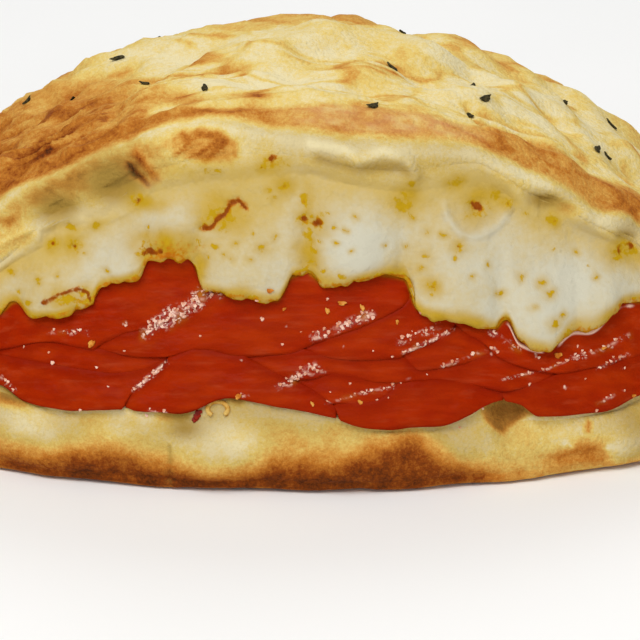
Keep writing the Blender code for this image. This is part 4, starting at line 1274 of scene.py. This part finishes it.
# Small oily flecks: x, z, radius.
FLECKS = (
    (21.8, 40, 0.8), (21.1, 38.2, 0.6), (22.6, 33.8, 0.6), (27, 39.7, 0.5), (38.8, 35.8, 0.7),
    (42.8, 34.4, 0.7), (44, 32.6, 0.8), (41.3, 30.7, 0.5), (35, 33.1, 0.6), (46.1, 28.8, 0.6),
    (44.6, 27.8, 0.8), (3.3, 38.3, 0.7), (6.9, 37.1, 0.9), (56.7, 36.8, 0.9), (59.8, 36.9, 1),
    (44, 44.8, 1.1), (-52.9, 34.7, 0.8), (-41.4, 43.3, 1), (-37.2, 44.1, 0.9), (-38.9, 39.1, 0.4),
    (-27.6, 44.7, 0.6), (-18.4, 42.4, 0.8), (-15.5, 41.9, 0.7), (-11.9, 42.8, 0.5), (-7.3, 42.1, 0.9),
    (4.7, 47.6, 0.4), (5.5, 45.5, 0.5), (7.4, 45.3, 0.4), (9.4, 47.2, 0.5), (14.3, 42.6, 0.4),
    (18.3, 41.9, 0.5), (22.2, 44.1, 0.6), (25, 43.3, 0.5), (34.7, 49.2, 0.8), (39.8, 45.8, 0.6),
    (-49.2, 30.6, 0.7), (-51.1, 31.9, 0.6), (-47.4, 34.3, 0.6), (-20.2, 38.9, 0.6), (12.8, 37.9, 0.6),
    (-43.8, 35.4, 0.4), (-35, 37, 0.5), (16.4, 49.6, 0.7), (19.4, 46.6, 0.6), (-12.5, 40.2, 0.4),
    (49.2, 38.6, 0.5), (52.6, 34.1, 0.5), (33.2, 38, 0.4), (30, 36.2, 0.4), (8.6, 41.6, 0.4),
    (-13.6, 40.8, 0.5), (-9.4, 40.4, 0.5), (-16.8, 40.2, 0.4), (-5, 43.8, 0.5), (-8.8, 44.6, 0.4),
    (-6, 51.6, 0.6), (-4.8, 50.2, 0.7), (-2.6, 55.6, 0.5), (3.2, 43, 0.5), (5.8, 43, 0.4), (-23.2, 56, 0.6),
    (-14.6, 54.6, 0.6),
)
# Soft yellow glazes on the cheese: x, z, half-width, half-height, strength.
GLAZES = (
    (-14.4, 47.4, 4.4, 3.2, 0.7), (0.9, 47, 1.6, 5, 0.6), (0.9, 41, 2, 4, 0.95), (18.2, 50.4, 2.4, 3, 0.65),
    (31.4, 49, 3.2, 2.2, 0.6), (-24.2, 42, 6.6, 2.9, 1), (-28.2, 48.7, 3.2, 1.3, 0.8),
    (-18.5, 55.2, 6, 2, 0.45), (-41.6, 31.8, 4.6, 1.9, 0.6), (58.8, 38, 4, 1.8, 0.75),
    (44.5, 44.6, 4.5, 1.8, 0.25), (-50.5, 33, 5.5, 3.5, 0.14), (-12, 55, 6, 3, 0.22),
    (20.6, 38.6, 3.5, 4, 0.14), (-18.9, 38, 1.9, 4.6, 0.85), (-45, 43.6, 2.6, 1.4, 0.4),
)
SQUIGGLE = (
    (-17.8, 44.9), (-16.4, 45.2), (-15.2, 46.6), (-13.9, 47.6), (-12.9, 49.4), (-11.5, 49.9), (-10.2, 48.7),
)
BLISTER = ((-46.4, 30.9), (-43.3, 32.4), (-40, 33.6), (-38.5, 33.1), (-37.7, 31.4))
RING_CENTRE, RING_RADIUS = (31.1, 48.7), 5.9
# Furrows that run up from the notches between the lobes: x, lower z, upper z, lean.
FURROWS = (
    (-18.8, 38, 47, 0), (1.2, 36, 51, -0.05), (18.9, 33, 50, -0.08), (35.6, 28, 40, -0.1),
    (-37, 32, 40, 0.1),
)

# Marks as on the crust: how far the cheese swells, in millimetres, and how much creamier it is.
CHEESE_SWELLS = (
    (-10, 38, 6, 4.5, 0.7), (9.5, 41, 5.5, 6, 0.7), (-44, 34, 7, 4, 0.5), (28, 34, 6, 5, 0.5),
    (43, 29, 4.5, 5, 0.7), (54, 31, 4, 4, 0.5), (-41.8, 31.6, 4.4, 1.8, 0.25), (0.4, *BLISTER, 0.3),
    (0.6, *SQUIGGLE, -0.45),
)
CREAMY = (
    (-13, 46, 9, 7, 0.35), (31, 51, 7, 4, 0.3), (20, 38, 5, 7, 0.3), (45, 33, 9, 8, -0.32),
    (-10, 38, 8, 5, 0.16), (10, 43, 6, 6, -0.32), (-33, 42, 7, 4, -0.2),
)
# How much wider the oily line along the cheese's lower edge is.
WIDE_EDGE = ((-24, 40, 5, 4, 1.3), (2, 38, 4, 4, 0.8), (17, 36, 5, 4, 0.6))
# Marks with their strength, and what it gains where the cheese is broken up.
SCORCHED = ((-25.4, 40.9, 3.6, 0.9, 0, 1.1), (58.8, 37.8, 2.6, 0.9, 0, 0.8))
OILY = (
    (-23.8, 41.2, 6, 1.8, 0.85, 0), (-41.6, 31.8, 4, 1.5, 0.9, 0), (32.5, 50.6, 3.6, 2, 0, 0.8),
    (-28.2, 48.6, 2.6, 1, 0.4, 0.6), (-17.6, 55.2, 5.4, 1.7, 0, 0.9), (45, 44.2, 4, 1.8, 0, 0.55),
    (1.3, (0.4, 50.5), (1, 45), (1.7, 39.4), 0.65, 0.4), (1.9, (18.9, 52.2), (17.4, 48.6), 0.6, 0.5),
)
AMBER_MARKS = (
    (-24.6, 40.7, 4.8, 1.2, 0.9, 0), (-23.4, 41.4, 6.4, 2.4, 0.6, 0), (-40.5, 31.7, 4.2, 1.7, 0, 0.5),
    (1, (0.4, 49), (1, 45), (1.6, 39), 0, 0.55),
)
SCORCHED_LINES = ((0.38, *SQUIGGLE, 1.15, 0), (0.38, *BLISTER, 0.9, 0))
SCORCHED_EDGING = ((0.72, *SQUIGGLE, 1, 0), (0.6, *BLISTER, 0.7, 0))


def lobe(x):
    return 0.45 + 0.55 * np.max([bell(x - c, r) for c, r in LOBES], axis=0)


def around_ring(x, z):
    """How far each spot is from the ring's centre, and its share in the ring's lower half."""
    cx, cz = RING_CENTRE
    return np.hypot(x - cx, (z - cz) * 1.05), ease(cz + 1.5, cz - 2.0, z)


def cheese_relief(points):
    x, _, z = axes(points)
    lift = 0.55 * lumps(points, (11, 11, 9), 31) + 0.16 * lumps(points, 4, 32)
    lift += 0.03 * lumps(points, 1.3, 33) + marks(x, z, CHEESE_SWELLS)
    for cx, low, high, lean in FURROWS:
        run = span(z, low - 2, low + 1, low + 3, high)
        lift -= 0.6 * run * bell(x - cx - lean * (z - low), 1.7)
    reach, lower = around_ring(x, z)
    lift += 0.6 * lower * bell(reach - RING_RADIUS, 0.7) - 0.35 * bell(reach, 4.2)
    return lift - 0.35 * marks(x, z, [(cx, cz, r, r, much) for cx, cz, r, much in SCORCHES])


def spots_around(spots, wide, wide_more, tall, tall_more, share=1.0):
    """Marks round scorches or flecks, each so many times as wide and tall as its radius, plus a little."""
    return [
        (cx, cz, wide * r + wide_more, tall * r + tall_more, share * (much[0] if much else 1.0), 0)
        for cx, cz, r, *much in spots
    ]


def cheese_masks(points, place, xs, low, high):
    x, _, z = axes(points)
    above_edge = z - low[:, None]
    up = above_edge / np.maximum(high - low, 1.0)[:, None]
    curls, edging = strongest(x, z, SCORCHED_LINES), strongest(x, z, SCORCHED_EDGING)
    x = x + 0.3 * lumps(points, 0.9, 48) + 0.5 * lumps(points, 2.6, 50)
    z = z + 0.3 * lumps(points, 0.9, 49) + 0.4 * lumps(points, 2.6, 51)
    broken = ease(-0.1, 0.5, lumps(points, (1.3, 1.3, 1.1), 34))
    blotchy = ease(-0.35, 0.35, lumps(points, (1, 1, 0.9), 56))
    bare = [spot[:3] for spot in SCORCHES]

    def most(rows, *others):
        return np.maximum.reduce([strongest(x, z, rows, broken), *others])

    ring = most(spots_around(SCORCHES, 1.5, 0, 1.3, 0, 0.7))
    curls = curls * (0.75 + 0.25 * ease(-0.6, 0.2, lumps(points, 1, 38)))
    scorch = most([*spots_around(SCORCHES, 1, 0, 0.8, 0), *SCORCHED], curls)
    halos = [*spots_around(bare, 2.4, 0.6, 2.2, 0.5, 0.85), *spots_around(FLECKS, 1.2, 0, 0.95, 0)]
    halo = most([*halos, *OILY], (0.5 + 0.6 * blotchy) * dab(x, z, -14.2, 47.0, 4.2, 3.1))
    wide = 0.55 + 0.75 * ease(-0.2, 0.7, lumps(points, (5, 5, 50), 37)) + marks(x, z, WIDE_EDGE)
    above = np.maximum(above_edge, 0)
    clean = 1 - 0.6 * span(x, 18.5, 21, 31, 33.5)
    rim = bell(above, wide) * (0.65 + 0.35 * broken) * clean
    under = ease(3.1, 1.6, place) * clean
    front = ease(9.0, 8.0, place)
    oil = np.maximum.reduce([halo, rim, under]) * front
    edge = np.maximum(0.55 * clean * bell(above, 0.3 * wide + 0.1), 0.6 * under) * front
    amber = most(AMBER_MARKS, edge, 0.85 * edging, ring)
    glazes = [*spots_around(bare, 2.6, 0.6, 2.4, 0.5, 0.6), *spots_around(FLECKS, 1.8, 0, 1.4, 0, 0.4)]
    glaze = most([*glazes, *((*row, 0) for row in GLAZES)], 0.75 * bell(above, 1.2 * wide + 0.2))
    glaze = glaze * (0.85 + 0.3 * lumps(points, 2.2, 44))
    glaze = 1 - (1 - np.clip(glaze, 0, 1)) ** 2.2
    reach, lower = around_ring(x, z)
    cream = 0.34 + 0.5 * ease(0.4, 0.95, up) + 0.22 * ease(-36, -50, x) + marks(x, z, CREAMY)
    cream -= lower * (0.26 * bell(reach - RING_RADIUS, 0.9) + 0.32 * bell(reach, 5.0))
    film = span(place, 6.6, 7.6, 9.5, 10)
    thin = ease(7.9, 7.3, place)
    return {
        "oil": oil * thin,
        "glaze": glaze * (1 - 0.4 * film) * front * thin,
        "amber": amber * front,
        "scorch": scorch * front * thin,
        "cream": cream,
        "flecked": 0.7 * front * (1 - film),
        "film": film,
        # the film takes on the rim's colour, with its painted shade and highlight
        "bake_and_light": rim_bake_and_light(points),
        "olive_shade": rim_painted_shade(points),
    }


def lay_on(crust, points, place):
    """Draws the top of the cheese over the corner of the crust and onto the rim behind it."""
    tree = BVHTree.FromObject(crust, bpy.context.evaluated_depsgraph_get())
    rows = np.flatnonzero((place[0] > FILM_START - 0.35) & (place[0] <= FILM_END))
    touch = rows[np.argmin(np.abs(place[0, rows] - FILM_START - 0.6))]
    for line in points:
        free_y, free_z = line[rows[0] - 1, 1:]
        behind = {}
        for j in rows:
            start = Vector((line[j] + (0, SETBACK - PROBE_START, 0)) * MM)
            where = tree.ray_cast(start, Vector((0, 1, 0)), PROBE_REACH)[0]
            if where is not None:
                behind[j] = where.y / MM - SETBACK
        if touch not in behind:
            continue
        for j in rows:
            thickness = 0.24 - 0.42 * ease(0.15, 0.95, place[0, j] - FILM_START)
            t = (line[j, 2] - free_z) / (line[touch, 2] - free_z)
            bridge = free_y + t * (behind[touch] - free_y) if t < 1 else np.inf
            line[j, 1] = min(bridge, behind.get(j, np.inf)) - thickness * min(1, max(t, 0) * 2)


def make_cheese(material, crust):
    under_gum = (lambda x: gum_z(x) - 0.15,)
    xs, low, high = layer_stations((cheese_edge,), under_gum, CHEESE_RUN, 0.36, 0.9, TIP)
    line = np.stack([xs, 0 * xs, 0 * xs], axis=-1)
    grown = np.minimum((high - low) / 12, 1.0)
    ragged = lumps(line, (2.4, 1, 1), 35) + lumps(line, (1.1, 1, 1), 36)
    edge = low - 0.25 * grown + RAGGED_EDGE * grown * ragged
    reach = CHEESE_STAND * lobe(xs) * grown
    front = [(face_y(xs, edge), edge)]
    for s, out, sag in CHEESE_FRONT:
        z = edge + s * (high - edge)
        front.append((face_y(xs, z) - reach * out - 0.2, z - sag * np.minimum(reach, 1.0)))
    film_top = high + film_line(xs) * (roll_line(xs) - high) * grown
    film_y = face_y(xs, film_top)
    front += [
        (face_y(xs, high) - 1.3 * grown, high),
        (film_y - 2.0 * grown, film_top),
        (film_y + 0.5, film_top),
    ]
    points, place = layer_loop(xs, low, high, front, CHEESE_STEPS)
    seen = span(place, 0.8, 1.6, 6.2, 7.0) * grown[:, None]
    moved = raised(points, cheese_relief(points) * seen)
    lay_on(crust, moved, place)
    masks = cheese_masks(points, place, xs, low, high)
    cheese = skin("mozzarella_melted", moved, caps(moved), material, masks)
    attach(cheese, "root")
    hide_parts("mozzarella")
    return cheese


# ---------------------------------------------------------------- the sausage slices

# The front of a slice from its free lower edge up: share of its height, stand, sag.
SLICE_FRONT = ((0, 0.6, 0.34), (0.03, 0.94, 0.42), (0.2, 1.05, 0), (0.6, 0.6, 0))
SLICE_STEPS = (2, 3, 6, 8, 9, 1)
SLICE_EASE = 0.45  # the slices lie a little flatter than their solids
SLICE_TIP = -0.1

# Strips of painted highlight, pale dashes and crumbs of fat that stand in for glints: half-width, strength,
# then the line.
GLINTS = (
    (1.35, 1.3, (-28, 27), (-21.5, 31), (-15.9, 34)), (0.45, 1, (-30.3, 17.3), (-27.5, 19.6), (-24.3, 22.2)),
    (0.85, 0.75, (-4.2, 18.9), (-1, 20.6), (2.4, 22.4)), (0.45, 0.9, (-1.5, 20.6), (3.6, 21.4)),
    (0.85, 0.9, (1.8, 26.6), (6, 28.4), (12.6, 30.6)), (0.4, 1, (17.6, 24), (21, 25.2), (27, 27.5)),
    (0.7, 0.7, (17, 25.8), (24.3, 27.9)), (0.4, 0.7, (24.4, 21.4), (28.2, 22.6), (34.2, 23.9)),
    (0.28, 0.6, (35.2, 18.8), (42, 19.4), (49.3, 21.2)), (0.6, 0.75, (48, 21), (54, 21.8), (58.8, 23.6)),
    (0.45, 0.8, (52.9, 18.9), (58.5, 20.4)), (0.4, 0.7, (3.9, 16.2), (10, 17.8), (15.8, 18.6)),
    (0.4, 0.5, (15.8, 18.8), (19, 20)), (0.5, 0.6, (-46, 25.4), (-42.5, 25.8), (-38.4, 26)),
    (0.35, 0.7, (-27.6, 14.4), (-24.4, 14.2)), (0.55, 0.9, (-54.4, 17.2), (-52, 15.6)),
    (0.6, 0.6, (33.4, 26.4), (36, 25), (38.5, 23.4)), (0.35, 0.7, (-31.9, 27.9), (-31.6, 28.1)),
    (0.4, 0.6, (52.7, 13), (58, 14.8)), (0.45, 0.5, (30.5, 13.6), (33, 14.6)),
    (0.4, 0.6, (-11.2, 17.4), (-9.6, 17.6)),
)
WET_HIGHLIGHT_RUN = (35.5, 58.5)  # stretch of the cheese's edge that has a bright wet line under it, a painted highlight
WET_HIGHLIGHT_DROP = 1.15


def slice_relief(points, glint, seed):
    lift = 0.28 * lumps(points @ SLANT, (13, 8, 4.5), seed) + 0.1 * lumps(points, (3.2, 3.2, 2.2), seed + 1)
    lift += 0.035 * lumps(points, (1.1, 1.1, 0.9), seed + 2)
    return lift + 0.16 * glint * ease(-0.1, 0.5, lumps(points, (0.55, 0.8, 0.5), seed + 3))


def slice_masks(points, place, low, high):
    x, _, z = axes(points)
    glint = strongest(x, z, [(width, *line, much, 0) for width, much, *line in GLINTS])
    streaks = [(0.5 * width + 0.12, *line, min(much, 0.9), 0) for width, much, *line in GLINTS]
    sheen = strongest(x, z, streaks)
    glint = glint * (0.35 + 0.65 * ease(-0.35, 0.25, lumps(points, (1.6, 1.6, 1.2), 61)))
    up, down = z - low[:, None], high[:, None] - z
    # Painted shade where each slice tucks under the one above, and along its lower edge.
    crease_shade = 0.5 * bell(np.maximum(down, 0), 0.9) + 0.25 * bell(np.maximum(up, 0), 0.25)
    under_cheese = cheese_edge(x) - z
    start, end = WET_HIGHLIGHT_RUN
    broken = ease(-0.55, 0.1, lumps(points, 2.6, 62))
    line = span(x, start, start + 2, end, end + 2) * broken * bell(under_cheese - WET_HIGHLIGHT_DROP, 0.32)
    streaky = ease(-0.3, 0.6, lumps(points @ SLANT, (2.4, 2, 0.5), 68))
    # Painted highlight: the bright wet line under the cheese, and soft streaks along the glints.
    wet_highlight = np.maximum(line, 0.62 * sheen * streaky)
    oily = 0.5 * bell(np.maximum(under_cheese - 0.2, 0), 0.45) * broken
    oily = oily + 0.35 * glint * ease(0.2, 0.6, lumps(points, 1.8, 63))
    front = ease(6.0, 5.2, place)
    return {"glint": glint * front, "crease_shade": crease_shade * front, "wet_highlight": wet_highlight * front, "oily": oily * front}


def make_slices(material):
    slices = []
    for number, (name, unders, overs, stretch, stand) in enumerate(SLICES):
        xs, low, high = layer_stations(unders, overs, stretch, 0.42, 0.9, SLICE_TIP)
        grown = np.clip((high - low) / 4.5, 0.05, 1.0)
        wavy = 0.18 * lumps(np.stack([xs, 0 * xs, 0 * xs + number], axis=-1), (5, 1, 1), 70) * grown
        front = [(face_y(xs, low), low)]
        for s, out, sag in SLICE_FRONT:
            z = low + s * (high - low)
            reach = SLICE_EASE * stand * grown * out
            hang = z - sag * np.minimum(stand * grown, 1.0) + wavy * (s < 0.1)
            front.append((face_y(xs, z) - reach - 0.15, hang))
        front.append((face_y(xs, high) - 0.12 * grown, high + 0.4))
        points, place = layer_loop(xs, low, high, front, SLICE_STEPS)
        masks = slice_masks(points, place, low, high)
        seen = span(place, 0.6, 1.2, 4.4, 5.0) * grown[:, None]
        moved = raised(points, slice_relief(points, masks["glint"], 80 + 5 * number) * seen)
        piece = skin(name + "_glossy", moved, caps(moved), material, masks)
        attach(piece, "root")
        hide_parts(name)
        slices.append(piece)
    return slices


# ---------------------------------------------------------------- floor, lights and camera

# Lights in metres and watts: name, place, width and height, power, colour.
LIGHTS = (
    ("key", (-0.25, -0.6, 1.1), (0.8, 0.8), 11, KEY_LIGHT),
    ("front_fill", (0.25, -1.3, 0.4), (1.4, 0.8), 3.6, FILL_LIGHT),
    ("back_glow", (0.1, 0.9, 0.9), (1, 0.6), 5, (1, 1, 1)),
)
LIT_POINT = (0, 0, 0.03)
SKY_STRENGTH = 0.34
FLOOR_HALF = 3.0


def make_floor():
    mesh = bpy.data.meshes.new("floor")
    corners = [(a * FLOOR_HALF, b * FLOOR_HALF, 0) for a, b in ((-1, -1), (1, -1), (1, 1), (-1, 1))]
    mesh.from_pydata(corners, [], [(0, 1, 2, 3)])
    mesh.materials.append(floor_finish())
    floor = add_object("floor", mesh)


def make_light(name, place, size, power, colour):
    data = bpy.data.lights.new(name, "AREA")
    data.shape = "RECTANGLE"
    data.size, data.size_y = size
    data.energy = power
    data.color = colour
    light = add_object(name, data)
    light.location = place
    light.rotation_euler = (Vector(LIT_POINT) - Vector(place)).to_track_quat("-Z", "Y").to_euler()


def make_world():
    world = bpy.data.worlds.new("studio")
    world.use_nodes = True
    back = world.node_tree.nodes["Background"]
    back.inputs["Color"].default_value = (*SKY, 1)
    back.inputs["Strength"].default_value = SKY_STRENGTH
    bpy.context.scene.world = world


def make_camera():
    data = bpy.data.cameras.new("camera")
    data.sensor_width = SENSOR
    data.lens = SENSOR * VIEW_DISTANCE / SEEN_WIDTH
    tilt = math.radians(VIEW_ELEVATION)
    way = np.array((0, math.cos(tilt), -math.sin(tilt)))
    camera = add_object("camera", data)
    camera.location = (np.array(VIEW_TARGET) + (0, SETBACK, 0) - VIEW_DISTANCE * way) * MM
    camera.rotation_euler = (math.pi / 2 - tilt, 0, 0)
    bpy.context.scene.camera = camera


def main():
    bpy.context.scene.view_settings.view_transform = "Standard"
    crust = make_crust(dough_finish())
    make_flakes(crust, leaf_finish())
    cheese = make_cheese(cheese_finish(), crust)
    slices = make_slices(sausage_finish())
    make_crumbs([*slices, cheese, crust])
    make_curl([*slices, crust], morsel_finish("soft_onion", ONION, ONION_EDGE, 0.45))
    make_floor()
    for light in LIGHTS:
        make_light(*light)
    make_world()
    make_camera()


main()
